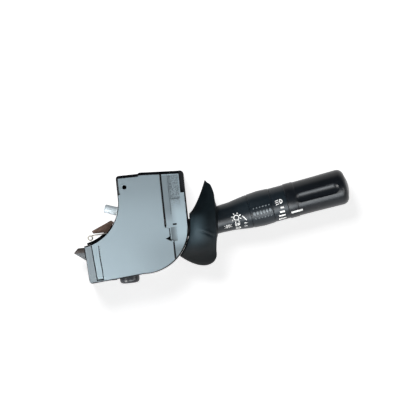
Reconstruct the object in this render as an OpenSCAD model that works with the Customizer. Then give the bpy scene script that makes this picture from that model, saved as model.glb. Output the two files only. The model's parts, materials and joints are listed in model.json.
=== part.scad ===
// Combination stalk switch for a steering column.
// X runs along the housing towards the stalk, Y across it, Z up through the cover.
// The flat back of the housing lies on z = 0.

/* [Housing] */
// Radius of the housing's round corner, about the turn pivot
arc_r = 32.1; // [31.6:0.1:32.6]
// Distance from the pivot to the top edge of the housing
case_up = 39; // [38:0.5:41]
// Fall of the top edge towards its right corner
top_fall = 1.6; // [0:0.1:2]
// Height of the step in the top edge
step_drop = 0.8; // [0.5:0.1:1.5]
// Step in the top edge, along X from the pivot
step_dx = 0.2; // [-2:0.1:2]
// Distance from the pivot to the left end of the wing
wing_reach = 42.3; // [41.6:0.1:43.4]
// Fall of the bottom edge towards the wing
wing_drop = 2.9; // [1.8:0.1:3.2]
// Lean of the wing's left end
wing_lean = 1.2; // [0:0.1:1.6]
// Height of the black base housing
base_h = 24; // [23:0.5:27]
// Height of the cover above the base
cover_h = 12; // [11:0.5:15]
// Wall of the housing
wall = 2; // [1.6:0.1:2.4]
// Floor of the base housing
base_floor = 2.4; // [2:0.1:3]
// Top plate of the cover
cover_top = 2; // [1.6:0.1:2.4]
// Radius of the outer corners
corner_r = 2.2; // [1.5:0.1:3]
// How far the cover stands in from the base at its sides
cover_in = 0.9; // [0.5:0.1:1.2]
// How far the cover stands in from the base along the top edge
cover_in_top = 2.2; // [1.8:0.1:2.4]
// Depth of the pockets in the back
pocket_depth = 0.8; // [0.5:0.1:1]

/* [Seams and panels] */
// Width of the seams between the cover pieces
seam = 0.65; // [0.4:0.05:0.8]
// Upper seam of the cover, right of the pivot
seam_dx = 15.8; // [15:0.1:16.6]
// First step of the seam to the right
seam_jog = 2.5; // [1.5:0.1:3]
// Second step of the seam to the right
seam_kick = 2.3; // [1.5:0.1:3]
// Width of the end panel
panel_w = 5.3; // [4.6:0.1:6]
// Lean of the end panel's seam
panel_lean = 2; // [0:0.1:2.5]
// Distance of the latch strip's slit from the hollow's edge
latch_top = 2.7; // [2:0.1:8]
// Distance of the latch strip's foot from the lower edge
latch_foot = 1.4; // [1.2:0.1:2]
// Depth of the sunk panels
sink = 0.6; // [0.4:0.1:0.8]
// Length of the upper sunk panel
sunk_len = 16.4; // [10:0.2:16.8]
// Width of the upper sunk panel
sunk_w = 6.6; // [5:0.2:6.8]
// Length of the lower sunk panel
low_sunk_len = 9.6; // [6:0.2:10.2]
// Width of the lower sunk panel
low_sunk_w = 4; // [3:0.2:5]
// Width of the slot between the sunk panels
slot_w = 2.6; // [2:0.2:3.2]
// Width of the notch in the right corner
notch_w = 3.2; // [2.8:0.1:4]
// Length of the notch in the right corner
notch_len = 15.2; // [12:0.2:16]
// Width of the snap hooks
hook_w = 5; // [4:0.5:7]
// Thickness of the snap hooks
hook_t = 1.2; // [1:0.1:1.4]

/* [Column side] */
// Radius of the hollow that sits round the steering column
column_r = 30.4; // [29:0.2:32]
// Column centre, left of the turn pivot
column_dx = 45.8; // [45.4:0.1:46.6]
// Column centre, above the turn pivot
column_dy = 21.8; // [20:0.5:23]
// Height of the black band's lower edge
band_lo = 5; // [4:0.5:7]
// Thickness of the black band
band_t = 1.6; // [1.2:0.1:2]
// Gap between the hollow's wall and the pieces that sit on it
band_gap = 0.1; // [0.05:0.05:0.2]
// Thickness of the brown contact leaf
leaf_t = 1.5; // [1:0.1:2]
// Reach of the brown contact leaf into the hollow
leaf_out = 11.2; // [9:0.2:12]
// Thickness of the pale spring strip
strip_t = 0.9; // [0.6:0.1:1.2]
// Width of the pale spring strip
strip_w = 3; // [2:0.5:4]
// Radius of the loop at the strip's end
loop_r = 2; // [1.6:0.1:2.4]
// How far the locating nose stands out
nose_out = 7.7; // [7:0.1:8.5]
// Height of the locating nose
nose_h = 11; // [9:0.5:13]

/* [Pivots] */
// Turn pivot, along X
pivot_x = 3.4; // [3:0.1:3.8]
// Turn pivot, along Y
pivot_y = -4; // [-4.5:0.1:-3.5]
// Radius of the turn pivot pin
pivot_pin_r = 2.5; // [2:0.1:3]
// Radius of the flash pivot pin
flash_pin_r = 2; // [1.6:0.1:2.4]
// Distance from the flash pivot to the front of the boot
flash_reach = 42.1; // [41:0.1:42.5]
// Running clearance round the pins
fit = 0.05; // [0.03:0.01:0.08]
// Gap beside the pieces that move inside
play = 0.3; // [0.2:0.05:0.4]

/* [Yoke] */
// Radius of the yoke's hub
hub_r = 6.5; // [6:0.1:6.8]
// Lower end of the hub
hub_lo = 10; // [9:0.5:11]
// Length of the hub
hub_len = 18.5; // [17:0.5:19]
// Thickness of each fork arm
fork_wall = 3.6; // [3:0.1:4]
// Half height of the fork arms
fork_up = 8; // [7:0.1:8.2]
// Half width of the stalk's eye between the fork arms
eye_half = 6; // [5:0.1:6]
// Length of the detent arm from the pivot
tail_len = 20; // [19:0.5:20.5]
// Half width of the detent arm
tail_half = 4.5; // [4:0.1:4.8]

/* [Stalk] */
// Height of the stalk's axis above the back of the housing
axis_h = 19; // [18.5:0.5:21]
// Angle of the stalk to the housing
stalk_angle = 9; // [7:0.5:11]
// Front of the boot on the stalk's axis, along X
front_x = 57.7; // [57:0.1:60]
// Front of the boot on the stalk's axis, along Y
front_y = -3.4; // [-4:0.1:-3]
// Radius of the stalk tube at the boot
tube_r0 = 9.6; // [9.4:0.1:9.8]
// Radius of the stalk tube at the grip sleeve
tube_r1 = 11.9; // [11.7:0.1:12.1]
// Length of the stalk tube
tube_len = 21.7; // [20:0.1:24]
// Length of the grip sleeve
sleeve_len = 16; // [14:0.5:18]
// Largest radius of the grip sleeve
sleeve_r = 12.5; // [12.3:0.1:12.8]
// Length of the index ring
ring_len = 10.5; // [9:0.5:12]
// Radius of the index ring
ring_r = 12; // [11.8:0.1:12.3]
// Length of the end knob
knob_len = 43.5; // [42:0.5:46]
// Radius of the end knob
knob_r = 12.5; // [12.3:0.05:12.7]
// How much slimmer the end knob is at its waist
knob_waist = 0.35; // [0:0.05:0.5]
// Radius of the rounding at the knob's end
knob_round = 5; // [4:0.1:5.4]
// Length of the plain band at the knob's start
knob_band = 7; // [6:0.1:8]
// Radius of the neck that carries the sleeve, ring and knob
neck_r = 8.6; // [8:0.1:9]
// Wall of the neck
neck_wall = 1.6; // [1.4:0.1:2]
// Gap between the turning pieces of the stalk
ring_gap = 0.35; // [0.3:0.05:0.6]
// Radius of the stalk arm inside the housing
arm_r = 6.2; // [5.8:0.1:6.6]
// Radius of the knob's rod
rod_r = 2.2; // [1.8:0.1:2.6]
// Length of the scoop in the knob
scoop_len = 32; // [28:0.5:34]
// Half width of the scoop
scoop_half = 3.7; // [3:0.1:4]
// Depth of the scoop
scoop_depth = 2; // [1.4:0.1:2.2]

/* [Buttons] */
// Radius of the end button
end_button_r = 7.6; // [7:0.1:7.9]
// Height of the end button's dome above the knob's end
end_dome = 1.4; // [1:0.1:2]
// Travel of the end button
end_travel = 1.8; // [1:0.1:2]
// Radius of the lower button
low_button_r = 7; // [6:0.1:7.2]
// Lower button, left of the pivot
low_button_dx = 13.2; // [12.8:0.1:13.6]
// Height of the lower button's axis above the back
button_z = 14; // [13:0.5:15]
// How far the lower button stands out
low_button_out = 4.6; // [3.5:0.1:6]
// Travel of the lower button
low_travel = 2; // [1:0.1:2.2]
// Width of the rim that keeps the lower button in
button_rim = 1.2; // [0.8:0.1:1.4]
// Radius of the lower button's stem
stem_r = 2.6; // [2:0.1:2.8]
// Radius of the cancel pin
cancel_r = 3; // [2.6:0.1:3.1]
// How far the cancel pin stands out towards the column
cancel_out = 10.4; // [8:0.1:11]
// Travel of the cancel pin
cancel_travel = 3; // [2:0.1:3.2]
// Radius of the cancel pin's bush
bush_r = 4.4; // [4.2:0.1:4.6]
// Length of the cancel pin's bush
bush_len = 8; // [7:0.5:8.5]
// Gap round the sliding buttons
button_gap = 0.3; // [0.2:0.05:0.4]

/* [Boot] */
// Height of the boot's tip above the stalk's axis
boot_up = 28.9; // [27:0.1:30]
// Reach of the boot below the stalk's axis
boot_down = 28.1; // [27:0.1:30]
// Half of the boot's width, square to the cover
boot_half = 17.6; // [16:0.2:18.2]
// Gap between the boot's back and the housing
boot_back_gap = 0.45; // [0.4:0.05:1]
// Radius of the boot's rounded bottom
boot_round = 8; // [6:0.5:9]
// Lean of the boot's front face
boot_lean = 12.6; // [10:0.2:14]
// Gap between the soft boot and the stalk
boot_gap = 0.3; // [0.2:0.05:0.4]
// Turn of the stalk to each side, in degrees
turn_reach = 7; // [5:0.5:7]
// Tip of the stalk to each side, in degrees
flash_swing = 5; // [3:0.5:5]

/* [Mechanism] */
// Direction of the yoke's detent arm, from the pivot
tail_angle = 216; // [215:0.5:217]
// Radius of the detent track's face, about the pivot
track_r = 24.6; // [24.4:0.1:25]
// Thickness of the detent track
track_t = 2.8; // [2.4:0.1:3]
// Radius of the detent plunger
plunger_r = 2.2; // [1.8:0.1:2.4]
// Distance from the pivot to the slider's drive pin
drive_r = 14; // [13:0.5:14.5]
// Thickness of the circuit board
board_t = 1.6; // [1.2:0.1:2]
// Reach of the circuit board to the left of the pivot
board_left = 27.4; // [26:0.2:27.6]
// Reach of the circuit board to the right of the pivot
board_right = 10.6; // [9.4:0.2:11]
// Reach of the circuit board below the pivot
board_low = 24; // [23:0.2:24.4]
// Radius of the spring wire
wire_r = 0.4; // [0.3:0.05:0.5]
// Width of the button's switch
switch_w = 7; // [6:0.5:7]
// Depth of the button's switch
switch_d = 5; // [4:0.5:6]

/* [Connector] */
// Width of the connector socket
socket_w = 17; // [16:0.5:17.5]
// Height of the connector socket
socket_h = 15; // [13:0.5:16]
// Depth of the connector socket
socket_d = 16; // [14:0.5:16.5]
// Wall of the connector socket
socket_wall = 1.4; // [1.2:0.1:1.8]
// Number of terminal blades in each of the two rows
blades = 4; // [3:1:4]
// Length of the blades behind the socket
blade_tail = 1.2; // [0.8:0.1:1.6]

/* [Fasteners] */
// Radius of the case screws
screw_r = 1.45; // [1.2:0.05:1.6]
// Radius of the screw bosses
boss_r = 3.3; // [3.2:0.1:3.6]
// Radius of the mounting screw holes on the back
mount_r = 2; // [1.6:0.1:2.2]
// Distance between the mounting screw holes
mount_gap = 26; // [24:0.5:27]
// Depth of the threaded inserts
mount_depth = 9; // [7:0.5:10]
// Wall of the threaded inserts
insert_wall = 1; // [0.8:0.1:1.2]
// Radius of the locating hole in the cover
locate_r = 1.5; // [1.2:0.1:1.8]

/* [Hidden] */
$fn = 48;
eps = 0.01;
big = 120;

// Housing outline
pivot = [pivot_x, pivot_y];
column = [pivot_x - column_dx, pivot_y + column_dy];
right_x = pivot_x + arc_r;
bottom_y = pivot_y - arc_r;
top_y = pivot_y + case_up;
left_x = column[0] + column_r;
wing_x = pivot_x - wing_reach;
step_x = pivot_x + step_dx;
total_h = base_h + cover_h;
inside_h = total_h - cover_top;
ledge = cover_in_top + wall / 2;

// Stalk stations, from the boot's front
sleeve_s = tube_len;
ring_s = sleeve_s + sleeve_len;
knob_s = ring_s + ring_len;
knob_end = knob_s + knob_len;
knob_floor = knob_s + knob_len / 2;
neck_end = knob_s + knob_band - 1;
pivot_s = (pivot_x - front_x) * cos(stalk_angle) + (pivot_y - front_y) * sin(stalk_angle);
pivot_n = -(pivot_x - front_x) * sin(stalk_angle) + (pivot_y - front_y) * cos(stalk_angle);
flash_s = -flash_reach;
eye_reach = arm_r + 1;
mouth_half = arm_r + 5.2;
mouth_up = arm_r + 3;
mouth_start = pivot_s + 20;
bore_r = neck_r - neck_wall;
rod_start = flash_s + 9;
rod_end = knob_s + 2 * knob_band;
collar_s = -8;
collar_len = 9.5;

// Yoke and the parts that it works
hub_hi = hub_lo + hub_len;
pin_seat = 1.2;
board_z = base_floor + board_t;
plunger_start = tail_len - 5.6;
spring_start = 8.6;
contact_dx = 3.4;

// Buttons
low_x = pivot_x - low_button_dx;
low_face = lowEdge(low_x);
flange_t = 1.6;
flange_y = lowEdge(low_x + low_button_r + button_rim) + wall + button_gap;
switch_y = pivot_y - 23;
stem_end = switch_y - low_travel - play;
cancel_z = base_h - bush_r - 0.6;
cancel_angle = 161;
cancel_at = [left_x - 0.3, pivot_y + 13.2];

// Snap hooks
hook_back = 1.1;
hook_drop = 7;
nub_h = 1.6;

// Boot
boot_front_n = 18;
boot_front_s = 0.5;
boot_back_r = arc_r + boot_back_gap;

// Connector
socket_x = wing_x + wing_lean + wall + button_gap + socket_w / 2;
socket_y = lowEdge(socket_x);
socket_z = base_floor + 3 + socket_h / 2;

// Fasteners
head_r = 1.85 * screw_r;
head_h = 1.8;
screw_at = [[pivot_x + 26, top_y - top_fall - 5.4], [pivot_x - 0.4, bottom_y + wall + boss_r + 0.5],
    [wing_x + 9.7, socket_y + socket_d + blade_tail + boss_r + 0.5],
    [left_x + 5.4, pivot_y + 18.3]];
locate_at = [left_x + 5.8, top_y - 9.3];
mount_at = [[2, 18], [2 + mount_gap, 18]];

// Height in Y of the slanted bottom edge at x
function lowEdge(x) = bottom_y - wing_drop * (pivot_x - x) / wing_reach;

// Points along an arc, from angle a0 to a1
function arcPts(c, r, a0, a1, n) =
    [for (i = [0:n]) let (a = a0 + (a1 - a0) * i / n) c + r * [cos(a), sin(a)]];

// Housing outline, set in by i at its sides and by t along the top edge
function caseOutline(i, t) =
    let (
        r = max(corner_r - i, 0.5),
        col_r = column_r + i,
        a_wing = -acos((wing_x + i - column[0]) / col_r),
        a_low = -90 - atan(wing_drop / wing_reach),
        top = top_y - t
    )
    concat(
        arcPts(pivot, arc_r - i, a_low, 0, 24),
        arcPts([right_x - i - r, top - top_fall - r], r, 0, 90, 5),
        [[step_x + 1, top], [step_x, top - step_drop]],
        arcPts([left_x + i + r, top - step_drop - r], r, 90, 180, 5),
        arcPts(column, col_r, 0, a_wing, 20),
        arcPts([wing_x + wing_lean + i + r, bottom_y - wing_drop + i + r], r, 180, 270, 5)
    );

// Frames: along the stalk, in the plan of the stalk, and along the detent arm
module onStalk(s = 0) {
    translate([front_x, front_y, axis_h])
        rotate([0, 0, stalk_angle])
            rotate([0, 90, 0])
                translate([0, 0, s])
                    children();
}

module inPlan(s = 0) {
    translate([front_x, front_y, axis_h])
        rotate([0, 0, stalk_angle])
            translate([s, 0, 0])
                children();
}

module onTail(z = 0) {
    translate([pivot_x, pivot_y, z])
        rotate([0, 0, tail_angle])
            children();
}

module atPivot(z = 0) {
    translate([pivot_x, pivot_y, z])
        children();
}

module atCancel() {
    translate([cancel_at[0], cancel_at[1], cancel_z])
        rotate([0, 0, cancel_angle])
            rotate([0, 90, 0])
                children();
}

// Round shape turned about the stalk's axis, from points [radius, station]
module turned(points) {
    onStalk()
        rotate_extrude($fn = 64)
            polygon(points);
}

// Coil spring along Z, from z = 0 to len
module coilSpring(r, len, turns) {
    rings = 12 * turns;
    sides = 6;
    pts = [for (i = [0:rings]) for (j = [0:sides - 1])
        let (
            a = 360 * i / 12,
            b = 360 * j / sides,
            q = r + wire_r * cos(b),
            z = wire_r + (len - 2 * wire_r) * i / rings + wire_r * sin(b)
        )
        [q * cos(a), q * sin(a), z]];
    walls = [for (i = [0:rings - 1]) for (j = [0:sides - 1])
        let (k = (j + 1) % sides)
        [i * sides + j, (i + 1) * sides + j, (i + 1) * sides + k, i * sides + k]];
    first = [for (j = [0:sides - 1]) j];
    last = [for (j = [0:sides - 1]) rings * sides + sides - 1 - j];
    polyhedron(points = pts, faces = concat([first], walls, [last]), convexity = 8);
}

// Opening in the housing's wall that the stalk arm moves in
module mouth() {
    inPlan(mouth_start)
        translate([0, -mouth_half, -mouth_up])
            cube([wing_reach, 2 * mouth_half, 2 * mouth_up]);
}

// Corner of the housing that stands up beside the side cover to height h, grown by d
module cornerPost(d, h) {
    intersection() {
        linear_extrude(h)
            polygon(caseOutline(0, 0));
        translate([right_x - notch_w - d, top_y - top_fall - notch_len - d, base_h - eps])
            cube([notch_w + d + 1, notch_len + d + top_fall + 1, big]);
    }
}

// Places of the two snap hooks: top edge of the cover, right edge of the side cover
module atTopHook() {
    translate([pivot_x + 5.6, top_y - ledge, base_h])
        children();
}

module atSideHook() {
    translate([right_x - wall, pivot_y + 17, base_h])
        rotate([0, 0, -90])
            children();
}

// Snap hook that hangs from a cover inside the base's wall, its nub in the wall's window
module snapHook() {
    translate([-hook_w / 2, -hook_back - hook_t, -hook_drop])
        cube([hook_w, hook_t, hook_drop + 3]);
    // Root on the cover's wall
    translate([-hook_w / 2, -hook_back - hook_t, 0])
        cube([hook_w, hook_back + hook_t - 0.4, 3]);
    // Nub
    translate([-hook_w / 2, -hook_back - eps, 0.6 - hook_drop])
        cube([hook_w, hook_back + wall / 2, nub_h]);
}

module hookWindow() {
    translate([-hook_w / 2 - play, -hook_back, 0.6 - hook_drop - play])
        cube([hook_w + 2 * play, hook_back + wall + 2, nub_h + 2 * play]);
}

module base_housing() {
    color("#101214") difference() {
        union() {
            difference() {
                linear_extrude(base_h)
                    polygon(caseOutline(0, 0));
                translate([0, 0, base_floor])
                    linear_extrude(base_h)
                        polygon(caseOutline(wall, ledge));
            }
            // Pivot boss
            atPivot() cylinder(r = hub_r - 1, h = hub_lo - play);
            // Screw and locating bosses
            for (p = concat(screw_at, [locate_at]))
                translate([p[0], p[1], 0]) cylinder(r = boss_r, h = base_h);
            // Mounting bosses
            for (p = mount_at)
                translate([p[0], p[1], 0])
                    cylinder(r = mount_r + insert_wall + 1.8, h = mount_depth + 1.6);
            // Ribs between the mounting bosses and the top wall
            for (p = mount_at)
                translate([p[0] - 0.8, p[1], 0])
                    cube([1.6, top_y - top_fall - wall / 2 - p[1], mount_depth]);
            // Seat under the connector socket
            translate([socket_x - socket_w / 2 + 1, socket_y + wall / 2, 0])
                cube([socket_w - 2, 5, socket_z - socket_h / 2]);
            cornerPost(0, total_h - 4);
        }
        mouth();
        atPivot(pin_seat) cylinder(r = pivot_pin_r + fit, h = big);
        for (p = screw_at) {
            translate([p[0], p[1], -1]) cylinder(r = screw_r + 0.15, h = big);
            translate([p[0], p[1], -1]) cylinder(r = head_r + 0.15, h = head_h + 1.4);
        }
        translate([locate_at[0], locate_at[1], base_floor]) cylinder(r = locate_r, h = big);
        for (p = mount_at)
            translate([p[0], p[1], -1])
                cylinder(r = mount_r + insert_wall + fit, h = mount_depth + 1);
        // Socket, button and cancel pin openings
        translate([socket_x - socket_w / 2 - fit, socket_y - 2, socket_z - socket_h / 2 - fit])
            cube([socket_w + 2 * fit, wall + 4, socket_h + 2 * fit]);
        translate([low_x, low_face - 1, button_z])
            rotate([-90, 0, 0]) cylinder(r = low_button_r + button_gap, h = wall + 2);
        atCancel() translate([0, 0, -10]) cylinder(r = bush_r + fit, h = 20);
        atTopHook() hookWindow();
        atSideHook() hookWindow();
        backPockets();
    }
}

// Shallow pockets in the flat back, parted by ribs
module backPockets() {
    pocket = [9, 6.5];
    pitch = pocket + [2.2, 2.2];
    for (i = [0:1]) for (j = [0:2])
        translate([pivot_x - 21 + i * pitch[0], pivot_y - 28 + j * pitch[1], -1])
            cube([pocket[0], pocket[1], pocket_depth + 1]);
    for (j = [0:2])
        translate([pivot_x + 9, pivot_y - 9 + j * pitch[1], -1])
            cube([2 * pocket[0], pocket[1], pocket_depth + 1]);
}

// Shell of the cover, before the seams part it
module coverShell() {
    translate([0, 0, base_h]) difference() {
        linear_extrude(cover_h)
            polygon(caseOutline(cover_in, cover_in_top));
        translate([0, 0, -eps])
            linear_extrude(cover_h - cover_top)
                polygon(caseOutline(cover_in + wall, cover_in_top + wall));
    }
}

// Plan of the seam between the main cover and the side cover, moved by d
function seamLine(d) =
    let (
        x0 = pivot_x + seam_dx + d,
        x1 = x0 + seam_jog,
        x2 = x1 + seam_kick
    )
    [
        [x0, top_y + 5],
        [x0, pivot_y - 1.3],
        [x1, pivot_y - 1.9],
        [x1, pivot_y - 9.4],
        [x2, pivot_y - 11],
        [x2, bottom_y - 5]
    ];

// Plan of the end panel's seam, moved by d
function endSeam(d) = [
    [wing_x + panel_w + panel_lean + d, bottom_y - wing_drop - 1],
    [wing_x + panel_w + d, pivot_y - 8],
    [wing_x + panel_w + d, top_y + 5]
];

// Bowed slit that frees the latch strip, with the foot that joins it to the end seam
module latchSlit() {
    slit_x = wing_x + 2 * panel_w;
    foot_x = wing_x + panel_w + panel_lean - seam / 2;
    foot_y = lowEdge(slit_x) + latch_foot;
    edge_y = column[1] - sqrt(pow(column_r + cover_in, 2) - pow(slit_x - column[0], 2));
    reach = edge_y - latch_top - foot_y;
    bow = 0.7;
    slit = [[bow, 0], [bow, reach / 4], [0, 0.6 * reach], [-0.3, reach]];
    translate([0, foot_y, inside_h - 1])
        linear_extrude(cover_top + 2) union() {
            translate([slit_x, 0]) polygon(concat(slit, [for (i = [3:-1:0]) slit[i] + [seam, 0]]));
            translate([foot_x, 0]) square([slit_x + bow + seam / 2 - foot_x, seam]);
        }
}

module cover() {
    color("#8f9ba2") difference() {
        union() {
            intersection() {
                coverShell();
                linear_extrude(big)
                    polygon(concat(endSeam(seam), seamLine(0)));
            }
            atPivot(hub_hi + play) cylinder(r = hub_r - 1, h = inside_h - hub_hi);
            for (i = [1:3])
                translate([screw_at[i][0], screw_at[i][1], base_h])
                    cylinder(r = boss_r, h = cover_h - 1);
            translate([locate_at[0], locate_at[1], base_h])
                cylinder(r = boss_r, h = cover_h - 1);
            atTopHook() snapHook();
        }
        mouth();
        atPivot() cylinder(r = pivot_pin_r + fit, h = inside_h - 0.4);
        for (i = [1:3])
            translate([screw_at[i][0], screw_at[i][1], 0])
                cylinder(r = screw_r + fit, h = inside_h - 0.4);
        translate([locate_at[0], locate_at[1], 0]) cylinder(r = locate_r, h = big);
        // Notch at the seam's second step
        translate([0, 0, inside_h - 1])
            linear_extrude(cover_top + 2)
                polygon([[pivot_x + seam_dx - 0.6, pivot_y - 9],
                    [pivot_x + seam_dx + seam_jog + 1, pivot_y - 11],
                    [pivot_x + seam_dx + seam_jog + 1, pivot_y - 7]]);
        // Slit beside the latch strip, with its foot
        latchSlit();
        // Small notch in the left edge
        translate([left_x + cover_in, locate_at[1] - 4.4, base_h + wall])
            cylinder(r = 1.1, h = cover_h);
    }
}

module side_cover() {
    color("#8f9ba2") difference() {
        union() {
            intersection() {
                coverShell();
                linear_extrude(big)
                    polygon(concat(
                        seamLine(seam),
                        [[right_x + 5, bottom_y - 5], [right_x + 5, top_y + 5]]
                    ));
            }
            translate([screw_at[0][0], screw_at[0][1], base_h])
                cylinder(r = boss_r, h = cover_h - 1);
            atSideHook() snapHook();
        }
        mouth();
        translate([screw_at[0][0], screw_at[0][1], 0])
            cylinder(r = screw_r + fit, h = inside_h - 0.4);
        cornerPost(0.15, total_h + 1);
        // Sunk panels, groove and slot
        translate([pivot_x + 21.5, top_y - 4.6 - sunk_len, total_h - sink])
            cube([sunk_w, sunk_len, 2]);
        translate([pivot_x + 20.6, pivot_y + 8, total_h - sink])
            cube([0.4, top_y - pivot_y - 12.5, 2]);
        translate([pivot_x + 21.3, pivot_y, inside_h - 1]) cube([slot_w, 1.2, 5]);
        translate([pivot_x + 19.6, pivot_y - 1.4 - low_sunk_len, total_h - sink])
            cube([low_sunk_w, low_sunk_len, 2]);
    }
}

module end_panel() {
    color("#8b969d") intersection() {
        coverShell();
        linear_extrude(big)
            polygon(concat(endSeam(0), [[wing_x - 5, top_y], [wing_x - 5, bottom_y - wing_drop - 1]]));
    }
}

module case_screws() {
    color("#b8bcc0") for (p = screw_at)
        translate([p[0], p[1], 0.4]) difference() {
            union() {
                cylinder(r = screw_r, h = inside_h - 2.4);
                cylinder(r = head_r, h = head_h);
            }
            translate([0, 0, -eps]) cylinder(r = screw_r * 0.9, h = 1, $fn = 6);
        }
}

module mount_inserts() {
    color("#b08d57") for (p = mount_at)
        translate([p[0], p[1], 0]) difference() {
            cylinder(r = mount_r + insert_wall, h = mount_depth);
            translate([0, 0, -1]) cylinder(r = mount_r, h = mount_depth + 2);
        }
}

module contact_band() {
    color("#0b0c0d") translate([0, 0, band_lo])
        linear_extrude(base_h - band_lo - 4)
            polygon(concat(
                arcPts(column, column_r - band_gap, -79, -36, 18),
                arcPts(column, column_r - band_gap - band_t, -36, -79, 18)
            ));
}

module horn_contact() {
    seat_r = column_r - band_gap;
    tip = column_r - leaf_out;
    color("#4a3a33") translate([0, 0, base_h - 3.9])
        linear_extrude(leaf_t)
            polygon([
                column + (tip + 3.2) * [cos(-64.3), sin(-64.3)],
                column + (column_r - 2.6) * [cos(-30.3), sin(-30.3)],
                column + seat_r * [cos(-31), sin(-31)],
                column + seat_r * [cos(-47), sin(-47)],
                column + (column_r - 5.9) * [cos(-64), sin(-64)]
            ]);
}

// Pale strip that runs out from the wall beside the brown leaf and ends in a loop
module horn_spring() {
    seat_r = column_r - band_gap;
    wall_at = column + seat_r * [cos(-47.5), sin(-47.5)];
    low_angle = -47.5 - 2.45 * strip_t;
    wall_low = column + seat_r * [cos(low_angle), sin(low_angle)];
    tip_at = column + (column_r - 6) * [cos(-70), sin(-70)];
    color("#d8d2c4") translate([0, 0, base_h - 3.9]) union() {
        linear_extrude(strip_w)
            polygon([wall_at, tip_at, tip_at - [0, strip_t], wall_low]);
        translate(tip_at - [0, loop_r]) difference() {
            cylinder(r = loop_r, h = strip_w);
            translate([0, 0, -1]) cylinder(r = loop_r - strip_t, h = strip_w + 2);
        }
    }
}

// Three-cornered nose with a ridge: its upper face is level, its lower face falls away
module locating_nose() {
    ridge_y = pivot_y - 12.5;
    color("#2b2523") difference() {
        translate([0, 0, base_h - nose_h])
            linear_extrude(nose_h)
                polygon([
                    [wing_x, pivot_y - 9.4], [wing_x - nose_out * 0.6, pivot_y - 9.4],
                    [wing_x - nose_out, ridge_y], [wing_x + wing_lean * 0.3, pivot_y - 18.6]
                ]);
        translate([wing_x - nose_out, ridge_y, base_h])
            rotate([0, 0, -8])
                rotate([34, 0, 0])
                    translate([-5, -12, 0]) cube([20, 12, nose_h]);
    }
}

module turn_pin() {
    color("#b8bcc0") atPivot(pin_seat + 0.1)
        cylinder(r = pivot_pin_r, h = inside_h - pin_seat - 0.8);
}

module circuit_board() {
    color("#2f5d3a") difference() {
        translate([0, 0, base_floor])
            linear_extrude(board_t)
                polygon([
                    pivot + [-board_left, -board_low], pivot + [board_right, -board_low],
                    pivot + [board_right, -0.5], pivot + [6.6 - board_left, -0.5],
                    pivot + [-board_left, -6.2]
                ]);
        atPivot() cylinder(r = hub_r - 0.7, h = hub_lo);
        translate([column[0], column[1], 0])
            cylinder(r = column_r + wall + play, h = hub_lo, $fn = 96);
        translate([screw_at[1][0], screw_at[1][1], 0]) cylinder(r = boss_r + play, h = hub_lo);
    }
}

module board_contacts() {
    color("#b08d57") onTail(board_z) for (x = [-contact_dx, contact_dx])
        translate([drive_r + x - 0.8, -6.5, 0]) cube([1.6, 13, 0.3]);
}

module connector_socket() {
    color("#15171a") translate([socket_x, socket_y, socket_z]) difference() {
        union() {
            translate([-socket_w / 2, 0, -socket_h / 2]) cube([socket_w, socket_d, socket_h]);
            // Rim that rests on the inside of the wall
            translate([-socket_w / 2, wall + 1, -socket_h / 2])
                cube([socket_w, 1.2, socket_h + 1]);
        }
        translate([-socket_w / 2 + socket_wall, -1, -socket_h / 2 + socket_wall])
            cube([socket_w - 2 * socket_wall, socket_d - 0.4, socket_h - 2 * socket_wall]);
        bladeRows() translate([-1.2, socket_d - 2, -0.45]) cube([2.4, 4, 0.9]);
        // Catch for the plug's latch
        translate([-2, 2.5, socket_h / 2 - socket_wall - 1]) cube([4, 2.5, socket_wall + 3]);
    }
}

// Places of the terminal blades in the socket
module bladeRows() {
    pitch = (socket_w - 2 * socket_wall) / blades;
    for (row = [-1, 1]) for (i = [0:blades - 1])
        translate([(i - (blades - 1) / 2) * pitch, 0, row * socket_h / 5]) children();
}

module terminal_blades() {
    color("#c9b26b") translate([socket_x, socket_y, socket_z])
        bladeRows()
            translate([-1.15, socket_d / 3, -0.4])
                cube([2.3, socket_d * 2 / 3 + blade_tail, 0.8]);
}

module detent_track() {
    color("#d9d6cf") onTail(board_z) difference() {
        linear_extrude(axis_h + 4 - base_floor)
            polygon(concat(
                arcPts([0, 0], track_r + track_t, -9, 9, 8),
                arcPts([0, 0], track_r, 9, -9, 8)
            ));
        for (a = [-6.5, 0, 6.5])
            rotate([0, 0, a])
                translate([track_r + 0.2 - plunger_r, 0, axis_h - 8])
                    cylinder(r = plunger_r, h = 14);
    }
}

module button_switch() {
    color("#1b1d20") translate([low_x - switch_w / 2, switch_y, board_z])
        cube([switch_w, switch_d, button_z + stem_r + 2 - board_z]);
}

module button_spring() {
    color("#c4c8cc") translate([low_x, switch_y, button_z])
        rotate([90, 0, 0])
            coilSpring(stem_r + wire_r + 0.6, switch_y - flange_y - flange_t - low_travel - play, 3);
}

module low_button() {
    flange_s = flange_y - low_face + low_button_out;
    color("#0c0d0f") translate([low_x, low_face - low_button_out, button_z])
        rotate([-90, 0, 0]) rotate_extrude() polygon(concat(
            [[0, 0]],
            arcPts([low_button_r - 1.6, 1.6], 1.6, -90, 0, 6),
            [
                [low_button_r, flange_s],
                [low_button_r + button_rim, flange_s],
                [low_button_r + button_rim, flange_s + flange_t],
                [stem_r, flange_s + flange_t],
                [stem_r, stem_end - low_face + low_button_out],
                [0, stem_end - low_face + low_button_out]
            ]
        ));
}

module cancel_bush() {
    color("#c9c6bf") atCancel() translate([0, 0, 1 - bush_len]) difference() {
        cylinder(r = bush_r, h = bush_len);
        translate([0, 0, -1]) cylinder(r = cancel_r + 0.15, h = bush_len + 2);
    }
}

module cancel_spring() {
    spring_len = cancel_travel + 1;
    color("#c4c8cc") atCancel() translate([0, 0, 1 - bush_len - spring_len])
        coilSpring(bush_r - wire_r - 0.4, spring_len, 3);
}

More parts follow.
